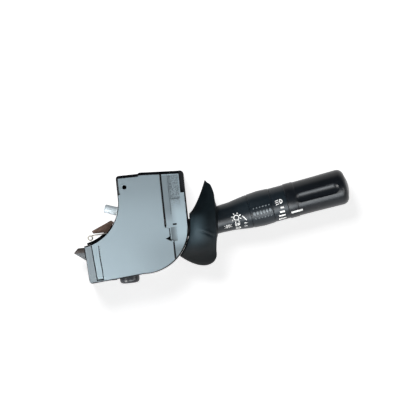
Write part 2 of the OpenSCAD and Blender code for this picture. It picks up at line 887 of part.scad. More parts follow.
module cancel_pin() {
    color("#8f9ba2") atCancel() rotate_extrude() polygon(concat(
        [[0, -bush_len - 2.5], [cancel_r - 0.6, -bush_len - 2.5], [cancel_r - 0.6, -bush_len + 1],
            [cancel_r, -bush_len + 1]],
        arcPts([cancel_r - 1, cancel_out - 1], 1, 0, 90, 6),
        [[0, cancel_out]]
    ));
}

module turn_yoke() {
    fork_half = eye_half + play + fork_wall;
    color("#e4e1d8") difference() {
        union() {
            atPivot(hub_lo) cylinder(r = hub_r, h = hub_len);
            inPlan(flash_s)
                translate([-11, -fork_half, -fork_up]) cube([16.5, 2 * fork_half, 2 * fork_up]);
            onTail(axis_h - 6) translate([0, -tail_half, 0]) cube([tail_len, 2 * tail_half, 12]);
            onTail(board_z + 1.6) translate([drive_r, 0, 0])
                cylinder(r = 1.5, h = axis_h - 6);
        }
        inPlan(flash_s)
            translate([-eye_reach, -eye_half - play, -big / 2])
                cube([30, 2 * (eye_half + play), big]);
        atPivot() cylinder(r = pivot_pin_r + fit, h = big);
        inPlan(flash_s) rotate([90, 0, 0])
            translate([0, 0, -big / 2]) cylinder(r = flash_pin_r + fit, h = big);
        onTail(axis_h) translate([spring_start - 0.1, 0, 0])
            rotate([0, 90, 0]) cylinder(r = plunger_r + fit, h = tail_len);
        // Lightening windows in the fork arms
        inPlan(flash_s)
            translate([-9.6, -big / 2, fork_up - 3]) cube([6, big, 4]);
    }
}

module flash_pin() {
    half = eye_half + play + fork_wall + 0.6;
    color("#b8bcc0") inPlan(flash_s) rotate([90, 0, 0])
        translate([0, 0, -half]) cylinder(r = flash_pin_r, h = 2 * half);
}

module detent_plunger() {
    color("#c9b26b") onTail(axis_h) rotate([0, 90, 0]) translate([0, 0, plunger_start])
        rotate_extrude() polygon(concat(
            [[0, 0], [plunger_r, 0]],
            arcPts([0, track_r - play - plunger_start - plunger_r], plunger_r, 0, 90, 8)
        ));
}

module detent_spring() {
    color("#c4c8cc") onTail(axis_h) translate([spring_start, 0, 0])
        rotate([0, 90, 0])
            coilSpring(plunger_r - wire_r - 0.2, plunger_start - spring_start - 0.1, 4);
}

module stalk_arm() {
    color("#17191c") difference() {
        union() {
            inPlan(flash_s) rotate([90, 0, 0])
                translate([0, 0, -eye_half]) cylinder(r = arm_r, h = 2 * eye_half);
            onStalk(flash_s) cylinder(r = arm_r - 0.2, h = flash_reach + 3);
        }
        inPlan(flash_s) rotate([90, 0, 0])
            translate([0, 0, -big / 2]) cylinder(r = flash_pin_r + fit, h = big);
        onStalk(rod_start - 1) cylinder(r = rod_r + 0.3, h = big);
    }
}

// Tube that widens in two stretches, with the neck that carries the turning pieces
module stalk_tube() {
    rise = tube_r1 - tube_r0;
    color("#1c2024") turned([
        [arm_r - 0.15, collar_s], [tube_r0, collar_s], [tube_r0, 0],
        [tube_r0 + rise * 0.2, tube_len * 0.4],
        [tube_r0 + rise * 0.6, tube_len * 0.67],
        [tube_r1 - 0.1, tube_len - 1.4], [tube_r1 - 0.1, tube_len - 0.3], [tube_r1 - 0.4, tube_len],
        [neck_r, tube_len], [neck_r, neck_end], [bore_r, neck_end], [bore_r, 3],
        [arm_r - 0.15, 3]
    ]);
}

module contact_plate() {
    color("#b08d57") turned([
        [rod_r + 0.4, ring_s], [bore_r - fit, ring_s], [bore_r - fit, ring_s + 2],
        [rod_r + 0.4, ring_s + 2]
    ]);
}

// Flared boot: its back clears the housing while the stalk turns and tips
module boot() {
    low_n = boot_round - boot_down;
    low_s = boot_front_s - (boot_front_n - low_n) * tan(boot_lean) - boot_round;
    color("#1d262b") difference() {
        intersection() {
            hull() {
                onStalk(-30) scale([0.5, 1, 1]) cylinder(r = 24, h = 0.5, $fn = 32);
                onStalk(4) scale([boot_half / (boot_up + 1.2), 1, 1])
                    cylinder(r = boot_up + 1.2, h = 0.5, $fn = 32);
            }
            inPlan() translate([0, 0, -boot_half - 1]) linear_extrude(2 * boot_half + 2)
                polygon(concat(
                    [[pivot_s + boot_back_r, pivot_n + 1.6], [-3.2, boot_up],
                        [boot_front_s - 1, boot_up - 2.8], [boot_front_s, boot_front_n]],
                    arcPts([low_s, low_n], boot_round, -boot_lean, -112, 8),
                    [[pivot_s + boot_back_r - 14, -16]]
                ));
        }
        bootBack();
        onStalk(-big / 2) cylinder(r = tube_r0 + boot_gap, h = big);
    }
}

// Room behind the boot: round the housing's corner and along its right side,
// wider away from the stalk's axis by the tip movement
module bootBack() {
    grow = boot_half * tan(flash_swing) + 0.3;
    section = [[0, -boot_half - 2], [boot_back_r + grow, -boot_half - 2], [boot_back_r, 0],
        [boot_back_r + grow, boot_half + 2], [0, boot_half + 2]];
    atPivot(axis_h) rotate_extrude($fn = 96) polygon(section);
    atPivot(axis_h) rotate([0, 0, -turn_reach])
        rotate([-90, 0, 0])
            linear_extrude(big) polygon(section);
}

module boot_collar() {
    color("#14181b") turned([
        [arm_r - 0.15, collar_s - collar_len], [tube_r0 - 1, collar_s - collar_len],
        [tube_r0, collar_s - collar_len + 1.5], [tube_r0, collar_s], [arm_r - 0.15, collar_s]
    ]);
}

module index_ring() {
    color("#1c2024") turned([
        [neck_r + fit, ring_s], [ring_r - 0.3, ring_s], [ring_r, ring_s + 0.3],
        [ring_r, knob_s - 0.3], [ring_r - 0.3, knob_s], [neck_r + fit, knob_s]
    ]);
}

module grip_sleeve() {
    start = sleeve_s + ring_gap;
    end = ring_s - ring_gap;
    color("#1c2024") turned([
        [neck_r + 0.2, start], [tube_r1 - 0.1, start], [tube_r1 + 0.1, start + 0.3],
        [sleeve_r, start + 0.45 * sleeve_len], [sleeve_r, start + 0.65 * sleeve_len],
        [sleeve_r - 0.3, end - 0.4], [sleeve_r - 0.6, end], [neck_r + 0.2, end]
    ]);
}

module end_knob() {
    lip = end_button_r + button_gap;
    color("#17191c") difference() {
        turned(concat(
            [[0, knob_s + knob_band], [neck_r + 0.2, knob_s + knob_band],
                [neck_r + 0.2, knob_s + ring_gap], [knob_r - 0.5, knob_s + ring_gap],
                [knob_r - 0.1, knob_s + ring_gap + 0.4], [knob_r - 0.1, knob_s + knob_band - 0.2],
                [knob_r - 0.4, knob_s + knob_band + 0.2],
                [knob_r - knob_waist, knob_s + knob_len * 0.42],
                [knob_r - 0.1, knob_s + knob_len * 0.75]],
            arcPts([knob_r - knob_round, knob_end - knob_round], knob_round, 0, 75, 8),
            [[lip, knob_end], [lip, knob_floor], [0, knob_floor]]
        ));
        onStalk(knob_s + 5) cylinder(r = rod_r + fit, h = rod_end - knob_s - 5 + fit);
        for (side = [-1, 1]) gripScoop(side);
    }
}

// Long round-ended scoop in the side of the knob that faces up or down
module gripScoop(side) {
    ball_r = 1.6 * scoop_half;
    reach = scoop_len / 2 - scoop_half;
    depth_r = sqrt(pow(ball_r, 2) - pow(scoop_half, 2));
    inPlan(knob_s + scoop_len / 2 + knob_band - 1)
        translate([0, 0, side * (knob_r - scoop_depth + ball_r)])
            hull() for (end = [-1, 1])
                translate([end * (reach + scoop_half - depth_r), 0, 0])
                    sphere(r = ball_r, $fn = 32);
}

module knob_rod() {
    color("#b8bcc0") onStalk(rod_start) cylinder(r = rod_r, h = rod_end - rod_start);
}

module rotary_contact() {
    color("#c9b26b") turned([
        [rod_r + fit, ring_s + 2.4], [bore_r - 0.6, ring_s + 2.4], [bore_r - 0.6, ring_s + 5],
        [rod_r + fit, ring_s + 5]
    ]);
}

module end_spring() {
    color("#c4c8cc") onStalk(knob_floor) coilSpring(end_button_r - 3, 5, 3);
}

module end_button() {
    start = knob_floor + 5 + end_travel + play;
    dome_r = (pow(end_button_r, 2) + pow(end_dome, 2)) / (2 * end_dome);
    color("#0e1012") turned(concat(
        [[0, start], [end_button_r, start]],
        arcPts([0, knob_end + end_dome - dome_r], dome_r, acos(end_button_r / dome_r), 90, 8)
    ));
}

module contact_slider() {
    color("#c9c6bf") onTail(board_z + 0.9) difference() {
        translate([drive_r - 5, -4.5, 0]) cube([10, 9, 3.2]);
        translate([drive_r - 2.6, -1.7, 0.6]) cube([5.2, 3.4, 5]);
    }
}

module slider_wipers() {
    color("#b08d57") onTail(board_z + 0.4) for (x = [-contact_dx, contact_dx])
        translate([drive_r + x - 0.5, -3, 0]) cube([1, 6, 0.5]);
}

base_housing();
cover();
side_cover();
end_panel();
case_screws();
mount_inserts();
contact_band();
horn_contact();
horn_spring();
locating_nose();
turn_pin();
circuit_board();
board_contacts();
connector_socket();
terminal_blades();
detent_track();
button_switch();
button_spring();
cancel_bush();
cancel_spring();
turn_yoke();
flash_pin();
detent_plunger();
detent_spring();
stalk_arm();
stalk_tube();
contact_plate();
boot();
boot_collar();
index_ring();
grip_sleeve();
end_knob();
knob_rod();
rotary_contact();
end_spring();
end_button();
contact_slider();
slider_wipers();
low_button();
cancel_pin();
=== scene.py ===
import json
import math

import bmesh
import bpy
from mathutils import Matrix, Vector


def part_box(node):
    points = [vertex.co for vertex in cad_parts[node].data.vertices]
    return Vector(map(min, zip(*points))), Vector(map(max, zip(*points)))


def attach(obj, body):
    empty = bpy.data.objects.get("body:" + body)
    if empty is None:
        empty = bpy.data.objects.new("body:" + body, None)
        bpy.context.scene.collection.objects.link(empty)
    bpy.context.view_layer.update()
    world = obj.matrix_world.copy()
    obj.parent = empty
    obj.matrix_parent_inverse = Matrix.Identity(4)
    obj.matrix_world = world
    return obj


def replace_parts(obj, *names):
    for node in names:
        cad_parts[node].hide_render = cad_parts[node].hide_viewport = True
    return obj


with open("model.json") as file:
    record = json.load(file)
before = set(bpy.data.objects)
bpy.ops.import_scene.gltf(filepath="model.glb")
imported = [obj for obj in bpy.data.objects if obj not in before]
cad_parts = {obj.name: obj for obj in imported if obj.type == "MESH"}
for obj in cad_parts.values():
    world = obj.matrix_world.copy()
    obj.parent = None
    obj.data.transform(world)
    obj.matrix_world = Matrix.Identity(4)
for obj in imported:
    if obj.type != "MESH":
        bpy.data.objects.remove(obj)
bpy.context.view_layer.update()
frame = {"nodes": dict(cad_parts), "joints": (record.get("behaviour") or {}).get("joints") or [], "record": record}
mm = 0.001
print("frame loaded")

# Camera: straight down on the cover, turned so that the housing leans as in the photograph
cameraView = {
    "tilt": 0.0,            # degrees towards the housing's top edge
    "roll": 6.0,            # degrees that the housing leans to the left
    "distance": 1.8,        # metres to the anchor point
    "scale": 0.0007,        # metres for each pixel at the anchor point
    "anchorPixel": (137.5, 223.0),
    "anchorPoint": (0.0, 0.0, 0.024),
    "imageSize": 416,
}


def addCamera(view):
    tilt = math.radians(view["tilt"])
    roll = math.radians(view["roll"])
    forward = Vector((0, -math.sin(tilt), -math.cos(tilt)))
    upPlain = Vector((0, math.cos(tilt), -math.sin(tilt)))
    rightPlain = Vector((1, 0, 0))
    right = rightPlain * math.cos(roll) - upPlain * math.sin(roll)
    up = rightPlain * math.sin(roll) + upPlain * math.cos(roll)
    half = view["imageSize"] / 2
    across = (view["anchorPixel"][0] - half) * view["scale"]
    down = (view["anchorPixel"][1] - half) * view["scale"]
    place = Vector(view["anchorPoint"]) - forward * view["distance"] - right * across + up * down
    data = bpy.data.cameras.new("photoCamera")
    data.sensor_width = 36
    data.lens = view["distance"] / view["scale"] / view["imageSize"] * data.sensor_width
    data.clip_start = 0.01
    data.dof.use_dof = False
    camera = bpy.data.objects.new("photoCamera", data)
    bpy.context.scene.collection.objects.link(camera)
    turn = Matrix((right, up, -forward)).transposed().to_4x4()
    camera.matrix_world = Matrix.Translation(place) @ turn
    bpy.context.scene.camera = camera


addCamera(cameraView)
bpy.context.scene.view_settings.view_transform = "Standard"
print("camera placed")


# Node helpers for the materials
def addNode(tree, kind, place=(0, 0), **values):
    node = tree.nodes.new(kind)
    node.location = place
    for name, value in values.items():
        if name in node.inputs:
            node.inputs[name].default_value = value
        else:
            setattr(node, name, value)
    return node


def objectCoordinates(tree):
    return addNode(tree, "ShaderNodeTexCoord", (-1200, 0)).outputs["Object"]


# A noise is its waves in a metre, its detail and its roughness
def noiseNode(tree, noise, place=(-900, 0)):
    scale, detail, rough = noise
    node = addNode(tree, "ShaderNodeTexNoise", place, Scale=scale, Detail=detail, Roughness=rough)
    tree.links.new(objectCoordinates(tree), node.inputs["Vector"])
    return node.outputs["Fac"]


def ramp(tree, source, stops, place=(-600, 0)):
    node = addNode(tree, "ShaderNodeValToRGB", place)
    elements = node.color_ramp.elements
    while len(elements) < len(stops):
        elements.new(0.5)
    for element, (position, color) in zip(elements, stops):
        element.position = position
        element.color = (*color, 1)
    tree.links.new(source, node.inputs["Fac"])
    return node.outputs["Color"]


def span(tree, source, low, high, fromLow=0.3, fromHigh=0.7, place=(-600, -300), curve="LINEAR"):
    node = addNode(tree, "ShaderNodeMapRange", place, interpolation_type=curve)
    node.inputs["From Min"].default_value = fromLow
    node.inputs["From Max"].default_value = fromHigh
    node.inputs["To Min"].default_value = low
    node.inputs["To Max"].default_value = high
    tree.links.new(source, node.inputs["Value"])
    return node.outputs["Result"]


def mixColor(tree, factor, first, second, place=(-300, 0)):
    node = addNode(tree, "ShaderNodeMix", place, data_type="RGBA")
    tree.links.new(factor, node.inputs["Factor"])
    for socket, value in ((node.inputs[6], first), (node.inputs[7], second)):
        if isinstance(value, tuple):
            socket.default_value = (*value, 1)
        else:
            tree.links.new(value, socket)
    return node.outputs[2]


def bumpFrom(tree, height, strength, distance, place=(-300, -500), under=None):
    node = addNode(tree, "ShaderNodeBump", place, Strength=strength, Distance=distance)
    tree.links.new(height, node.inputs["Height"])
    if under is not None:
        tree.links.new(under, node.inputs["Normal"])
    return node.outputs["Normal"]


def shade(tone, factor):
    return tuple(min(1.0, c * factor) for c in tone)


def multiplied(tree, first, second, place):
    node = addNode(tree, "ShaderNodeMath", place, operation="MULTIPLY")
    tree.links.new(first, node.inputs[0])
    tree.links.new(second, node.inputs[1])
    return node.outputs[0]


speckleLook = {"least": 0.35, "from": (0.42, 0.6)}


# One inside a box and zero outside it, speckled if asked. Each row of the box holds an axis, the low and
# the high end, and how far the edge fades at each end, in millimetres
def areaMask(tree, area):
    parts = addNode(tree, "ShaderNodeSeparateXYZ", (-1000, 900))
    tree.links.new(objectCoordinates(tree), parts.inputs[0])
    mask = None
    for axis, low, high, fadeLow, fadeHigh in area["box"]:
        edges = ((low - fadeLow, low + fadeLow), (high + fadeHigh, high - fadeHigh))
        for outside, inside in edges:
            side = span(
                tree, parts.outputs[axis], 0, 1, outside * mm, inside * mm, (-800, 900), "SMOOTHSTEP")
            mask = multiplied(tree, mask, side, (-600, 800)) if mask else side
    if "speckle" in area:
        specks = noiseNode(tree, area["speckle"], (-900, 600))
        speckle = span(tree, specks, speckleLook["least"], 1, *speckleLook["from"], (-700, 600))
        mask = multiplied(tree, mask, speckle, (-400, 800))
    return mask


def paintAreas(tree, body, look):
    for area in look["areas"]:
        tone = area.get("tone") or shade(look["tone"], area["factor"])
        body = mixColor(tree, areaMask(tree, area), body, tone, (-250, 200))
    return body


def newMaterial(name):
    material = bpy.data.materials.new(name)
    material.use_nodes = True
    return material, material.node_tree, material.node_tree.nodes["Principled BSDF"]


# What a plastic has unless its own row says otherwise. Depths are metres, and the From pairs are the
# noise levels between which a mask rises
plasticLook = {
    "cloudNoise": (45, 4, 0.55), "spread": 0.08, "cloudFrom": (0.35, 0.65),
    "scuffNoise": (240, 6, 0.7), "scuff": 0.25, "scuffFrom": (0.56, 0.74), "scuffFactor": 1.6,
    "edgeWearAndShadeNoise": (520, 5, 0.65), "edgeWearAndShade": 0.5, "edgeWearAndShadeFrom": (0.4, 0.65), "wearFactor": 1.9,
    "patchNoise": (130, 4, 0.6), "uneven": 0.06, "specular": 0.5, "areas": (),
    "grainNoise": (2600, 2, 0.5), "grain": 0.12, "grainDepth": 0.00012,
    "swellNoise": (70, 2, 0.4), "swell": 0.08, "swellDepth": 0.0006,
}


# Moulded plastic: cloudy tone, fine grain, soft scuffs, and rounded edges in an edge tone that is lighter wear on
# some looks and dirt with painted shade on the grey covers
def mouldedPlastic(name, ownLook):
    look = {**plasticLook, **ownLook}
    material, tree, shader = newMaterial(name)
    tone = look["tone"]
    cloud = noiseNode(tree, look["cloudNoise"], (-900, 300))
    cloudTones = (shade(tone, 1 - look["spread"]), shade(tone, 1 + look["spread"]))
    body = ramp(tree, cloud, list(zip(look["cloudFrom"], cloudTones)), (-650, 300))
    scuff = noiseNode(tree, look["scuffNoise"], (-900, 60))
    scuffMask = span(tree, scuff, 0, look["scuff"], *look["scuffFrom"], (-650, 60))
    scuffTone = look.get("scuffTone", shade(tone, look["scuffFactor"]))
    body = mixColor(tree, scuffMask, body, scuffTone, (-350, 250))
    body = paintAreas(tree, body, look)
    edges = addNode(tree, "ShaderNodeAttribute", (-900, -150), attribute_name="bevelWearAndShade")
    edgeWearAndShadeFac = noiseNode(tree, look["edgeWearAndShadeNoise"], (-900, -330))
    edgeWearAndShadeSpan = span(tree, edgeWearAndShadeFac, 0, look["edgeWearAndShade"], *look["edgeWearAndShadeFrom"], (-700, -300))
    # Faces made by the bevel take the edge tone: lighter wear where that tone is light, dirt and painted shade
    # where it is dark, as on the grey covers
    edgeWearAndShadeMask = multiplied(tree, edges.outputs["Fac"], edgeWearAndShadeSpan, (-520, -200))
    edgeWearAndShadeTone = look.get("edgeWearAndShadeTone", shade(tone, look["wearFactor"]))
    body = mixColor(tree, edgeWearAndShadeMask, body, edgeWearAndShadeTone, (-150, 200))
    tree.links.new(body, shader.inputs["Base Color"])
    patch = noiseNode(tree, look["patchNoise"], (-900, -520))
    roughSpan = (look["rough"] - look["uneven"], look["rough"] + look["uneven"])
    rough = span(tree, patch, *roughSpan, place=(-650, -520))
    tree.links.new(rough, shader.inputs["Roughness"])
    grain = noiseNode(tree, look["grainNoise"], (-900, -760))
    normal = bumpFrom(tree, grain, look["grain"], look["grainDepth"], (-400, -700))
    swell = noiseNode(tree, look["swellNoise"], (-900, -980))
    normal = bumpFrom(tree, swell, look["swell"], look["swellDepth"], (-200, -800), normal)
    tree.links.new(normal, shader.inputs["Normal"])
    shader.inputs["Specular IOR Level"].default_value = look["specular"]
    return material


metalLook = {
    "stainNoise": (190, 5, 0.6), "stainFrom": (0.35, 0.62), "stainFactor": 0.72, "stainRough": 0.12,
    "scratchNoise": (3200, 2, 0.5), "scratch": 0.1, "scratchDepth": 0.00006, "metallic": 1.0,
}


# Metal with fine scratches and patches of duller skin
def drawnMetal(name, ownLook):
    look = {**metalLook, **ownLook}
    material, tree, shader = newMaterial(name)
    tone = look["tone"]
    stain = noiseNode(tree, look["stainNoise"], (-900, 200))
    stainTones = (shade(tone, look["stainFactor"]), tone)
    body = ramp(tree, stain, list(zip(look["stainFrom"], stainTones)), (-600, 200))
    tree.links.new(body, shader.inputs["Base Color"])
    rough = span(tree, stain, look["rough"] + look["stainRough"], look["rough"], place=(-600, -100))
    tree.links.new(rough, shader.inputs["Roughness"])
    scratch = noiseNode(tree, look["scratchNoise"], (-900, -400))
    normal = bumpFrom(tree, scratch, look["scratch"], look["scratchDepth"])
    tree.links.new(normal, shader.inputs["Normal"])
    shader.inputs["Metallic"].default_value = look["metallic"]
    return material


# Rubber: dull dark skin with a faint bloom and a pebbled surface
def mouldedRubber(name, look):
    material, tree, shader = newMaterial(name)
    bloom = noiseNode(tree, look["bloomNoise"], (-900, 250))
    bloomTones = (look["tone"], look["bloomTone"])
    body = ramp(tree, bloom, list(zip(look["bloomFrom"], bloomTones)), (-600, 250))
    body = paintAreas(tree, body, look)
    tree.links.new(body, shader.inputs["Base Color"])
    tree.links.new(span(tree, bloom, *look["roughSpan"]), shader.inputs["Roughness"])
    pebble = noiseNode(tree, look["pebbleNoise"], (-900, -300))
    normal = bumpFrom(tree, pebble, look["pebble"], look["pebbleDepth"])
    swell = noiseNode(tree, look["swellNoise"], (-900, -560))
    normal = bumpFrom(tree, swell, look["swell"], look["swellDepth"], (-150, -600), normal)
    tree.links.new(normal, shader.inputs["Normal"])
    shader.inputs["Specular IOR Level"].default_value = look["specular"]
    return material


# Satin blue-grey plastic of the cover pieces, with dark seams, and dark rounded edges that are dirt and painted
# shade
seamTone = (0.005, 0.0055, 0.006)
greyLook = {
    "tone": (0.21, 0.267, 0.298), "rough": 0.5, "uneven": 0.02, "spread": 0.015,
    "cloudNoise": (26, 4, 0.55), "scuff": 0.03, "scuffTone": (0.32, 0.38, 0.42),
    # The dark edge tone of the grey covers is dirt and painted shade along their rounded edges
    "edgeWearAndShade": 0.97, "edgeWearAndShadeFrom": (0.25, 0.5), "edgeWearAndShadeTone": (0.018, 0.022, 0.025), "grain": 0.05, "swell": 0.02,
}
coverAreas = [
    # Painted shade: the top and the lower right corner are darker, where less light falls on the cover
    {"box": (("Y", 16.0, 60.0, 13.0, 1.0),), "factor": 0.82},
    {"box": (("X", 4.0, 40.0, 14.0, 1.0), ("Y", -45.0, -14.0, 1.0, 10.0)), "factor": 0.84},
    # Left rim with the notch at its foot
    {"box": (("X", -14.0, -10.1, 0.1, 0.15), ("Y", 22.0, 40.0, 0.3, 1.0)), "tone": (0.012, 0.014, 0.016)},
    {"box": (("X", -14.0, -9.7, 0.1, 0.2), ("Y", 20.8, 21.9, 0.2, 0.2)), "tone": seamTone},
    # Foot of the latch slit
    {"box": (("X", -33.2, -27.0, 0.1, 0.1), ("Y", -37.3, -36.1, 0.1, 0.1)), "tone": seamTone},
    # Long seam and the lower seam
    {"box": (("X", 18.75, 20.0, 0.1, 0.1), ("Y", -4.5, 40.0, 0.3, 0.3)), "tone": seamTone},
    {"box": (("X", 23.5, 24.2, 0.1, 0.1), ("Y", -30.0, -15.6, 0.1, 0.1)), "tone": seamTone},
]
sideAreas = [
    # Upper strip, and the rough panel beside it
    {"box": (("X", 18.0, 24.9, 0.1, 0.2), ("Y", 2.0, 31.0, 6.0, 0.2)), "factor": 0.62},
    {"box": (("X", 24.9, 31.4, 0.1, 0.4), ("Y", 11.0, 30.8, 8.0, 0.2), ("Z", 33.0, 40.0, 0.5, 0.5)),
     "factor": 0.42, "speckle": (900, 2, 0.6)},
    # Sunk panel, the bright middle, which is a painted highlight where light glares on the cover, the low end and
    # the long seam
    {"box": (("X", 23.0, 27.0, 0.1, 0.1), ("Y", -15.0, -5.4, 0.1, 0.1)), "factor": 0.5},
    {"box": (("X", 26.5, 36.0, 2.5, 0.5), ("Y", -14.0, 8.0, 5.0, 6.0)), "factor": 1.3},
    {"box": (("X", 20.0, 40.0, 0.1, 0.1), ("Y", -40.0, -18.5, 0.1, 3.0)), "factor": 0.62},
    {"box": (("X", 18.0, 20.15, 0.1, 0.1), ("Y", -4.5, 40.0, 0.3, 0.3)), "tone": seamTone},
]
bootHighlightAndShadeAreas = [
    # Painted highlight on the bulge, lighter where light catches it, and painted shade darkening the bottom
    {"box": (("X", 30.0, 45.0, 1.0, 5.0), ("Y", -17.0, 1.0, 5.0, 4.0), ("Z", 18.0, 60.0, 5.0, 1.0)),
     "tone": (0.036, 0.055, 0.066)},
    {"box": (("Y", -60.0, -22.0, 1.0, 5.0),), "tone": (0.001, 0.002, 0.0025)},
]
noseReflectionAreas = [
    # Painted reflection: the lower facet is a lighter grey-blue, as the facet catches the light
    {"box": (("X", -60.0, -30.0, 1.0, 1.0), ("Y", -40.0, -16.9, 1.0, 0.3)), "tone": (0.05, 0.056, 0.06)},
]
plastics = {
    "housingBlack": {"tone": (0.007, 0.008, 0.01), "rough": 0.5, "specular": 0.22,
                     "edgeWearAndShadeTone": (0.016, 0.018, 0.02)},
    "coverGrey": {**greyLook, "areas": coverAreas},
    "sideGrey": {**greyLook, "areas": sideAreas},
    "endGrey": {**greyLook, "tone": (0.135, 0.163, 0.18)},
    # The cancel pin is grey, its tone raised well above the covers' as painted light where the light falls on it
    "pinGreyPaintedLit": {**greyLook, "tone": (0.56, 0.63, 0.67)},
    # Lighter grey on the sleeve's bumps, a painted highlight for the light caught on their tops
    "bumpHighlightGrey": {"tone": (0.2, 0.23, 0.25), "rough": 0.3, "spread": 0.15, "grain": 0.1, "scuff": 0.3},
    "stalkBlack": {"tone": (0.009, 0.0145, 0.0195), "rough": 0.34, "uneven": 0.03, "spread": 0.2,
                   "grain": 0.2, "scuff": 0.12, "scuffTone": (0.024, 0.034, 0.043), "specular": 0.3},
    "knobBlack": {"tone": (0.006, 0.008, 0.011), "rough": 0.32, "uneven": 0.03, "spread": 0.15,
                  "grain": 0.12, "scuff": 0.12, "scuffTone": (0.02, 0.026, 0.035), "specular": 0.3},
    "buttonBlack": {"tone": (0.008, 0.01, 0.013), "rough": 0.3, "spread": 0.15, "grain": 0.1,
                    "specular": 0.4},
    "noseBrown": {"tone": (0.022, 0.017, 0.015), "rough": 0.5, "spread": 0.2, "specular": 0.25,
                  "areas": noseReflectionAreas},
    "whitePlastic": {"tone": (0.7, 0.68, 0.62), "rough": 0.5},
    "boardGreen": {"tone": (0.03, 0.12, 0.06), "rough": 0.4},
    "markWhite": {"tone": (0.93, 0.94, 0.93), "rough": 0.6, "spread": 0.04,
                  "scuff": 0.15, "scuffTone": (0.6, 0.61, 0.61)},
}
rubbers = {
    "bootRubber": {"tone": (0.003, 0.0055, 0.007), "bloomTone": (0.009, 0.015, 0.019),
                   "bloomNoise": (48, 4, 0.55), "bloomFrom": (0.35, 0.7), "roughSpan": (0.51, 0.63),
                   "pebbleNoise": (1900, 3, 0.55), "pebble": 0.16, "pebbleDepth": 0.00015,
                   "swellNoise": (110, 3, 0.5), "swell": 0.22, "swellDepth": 0.0009,
                   "specular": 0.1, "areas": bootHighlightAndShadeAreas},
}
metals = {
    "steel": {"tone": (0.6, 0.6, 0.62), "rough": 0.28},
    "darkSteel": {"tone": (0.03, 0.031, 0.034), "rough": 0.45, "metallic": 0.5},
    "dullTin": {"tone": (0.16, 0.15, 0.14), "rough": 0.5, "metallic": 0.8},
    "brass": {"tone": (0.62, 0.46, 0.2), "rough": 0.3},
    "brownCopper": {"tone": (0.17, 0.11, 0.085), "rough": 0.5, "metallic": 0.2},
    "paleSteel": {"tone": (0.78, 0.74, 0.66), "rough": 0.35, "metallic": 0.6},
}
finishes = {}
for makeFinish, looks in ((mouldedPlastic, plastics), (mouldedRubber, rubbers), (drawnMetal, metals)):
    for name, look in looks.items():
        finishes[name] = makeFinish(name, look)

# The finish of each slot in the record, and of the nodes that differ from their slot
slotFinish = {
    "housing_black": "housingBlack", "cover_grey": "coverGrey", "zinc_steel": "steel",
    "insert_brass": "brass", "brown_copper": "brownCopper", "spring_steel": "paleSteel",
    "nose_brown": "noseBrown", "pin_steel": "steel", "board_green": "boardGreen",
    "white_plastic": "whitePlastic", "stalk_black": "stalkBlack", "boot_rubber": "bootRubber",
    "knob_black": "knobBlack", "button_black": "buttonBlack", "pin_grey": "pinGreyPaintedLit",
}
nodeFinish = {
    "side_cover": "sideGrey", "end_panel": "endGrey", "stalk_arm": "darkSteel", "terminal_blades": "dullTin",
}
slotOf = {row["node"]: row["material_slot"] for row in frame["record"]["subparts"]}
bodyOf = {
    nodeName: bodyName
    for bodyName, nodeNames in frame["record"]["behaviour"]["bodies"].items()
    for nodeName in nodeNames
}


def finishOf(node):
    return nodeFinish.get(node, slotFinish[slotOf[node]])


for nodeName, nodeObject in frame["nodes"].items():
    nodeObject.data.materials.clear()
    nodeObject.data.materials.append(finishes[finishOf(nodeName)])
print("finishes made")


def addPiece(name, bm, finish, body, smoothAngle=35):
    data = bpy.data.meshes.new(name)
    bm.to_mesh(data)
    bm.free()
    piece = bpy.data.objects.new(name, data)
    bpy.context.scene.collection.objects.link(piece)
    data.materials.append(finishes[finish])
    data.shade_smooth()
    data.set_sharp_from_angle(angle=math.radians(smoothAngle))
    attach(piece, body)
    return piece


def applyModifiers(piece):
    graph = bpy.context.evaluated_depsgraph_get()
    data = bpy.data.meshes.new_from_object(piece.evaluated_get(graph))
    piece.modifiers.clear()
    old = piece.data
    piece.data = data
    bpy.data.meshes.remove(old)


# Edges sharper than the angle are rounded, and facets flatter than the flat angle are one face (degrees)
edgeLook = {"angle": 40, "flatAngle": 0.6, "merge": 0.002, "levelWeight": 80}


# Keeps the shading of the large flat faces level up to their rounded edges
def levelNormals(piece):
    change = piece.modifiers.new("level", "WEIGHTED_NORMAL")
    change.mode = "FACE_AREA"
    change.weight = edgeLook["levelWeight"]
    change.keep_sharp = True
    applyModifiers(piece)


# A copy of a node with its edges rounded over, which stands for that node
def softenedNode(node, name, radius, segments):
    bm = bmesh.new()
    bm.from_mesh(frame["nodes"][node].data)
    edgeWearAndShade = bm.faces.layers.float.new("bevelWearAndShade")
    bmesh.ops.remove_doubles(bm, verts=bm.verts, dist=edgeLook["merge"] * mm)
    flat = math.radians(edgeLook["flatAngle"])
    bmesh.ops.dissolve_limit(bm, angle_limit=flat, verts=bm.verts, edges=bm.edges)
    sharp = [
        e for e in bm.edges
        if len(e.link_faces) == 2 and e.calc_face_angle(0) > math.radians(edgeLook["angle"])
    ]
    made = bmesh.ops.bevel(
        bm, geom=sharp, offset=radius * mm, offset_type="OFFSET", segments=segments,
        profile=0.5, affect="EDGES", clamp_overlap=True, material=-1)
    for face in made["faces"]:
        # Faces made by the bevel are marked for the edge tone, which is wear on some finishes and dirt with
        # painted shade on others
        face[edgeWearAndShade] = 1.0
    piece = addPiece(name, bm, finishOf(node), bodyOf[node])
    levelNormals(piece)
    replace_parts(piece, node)


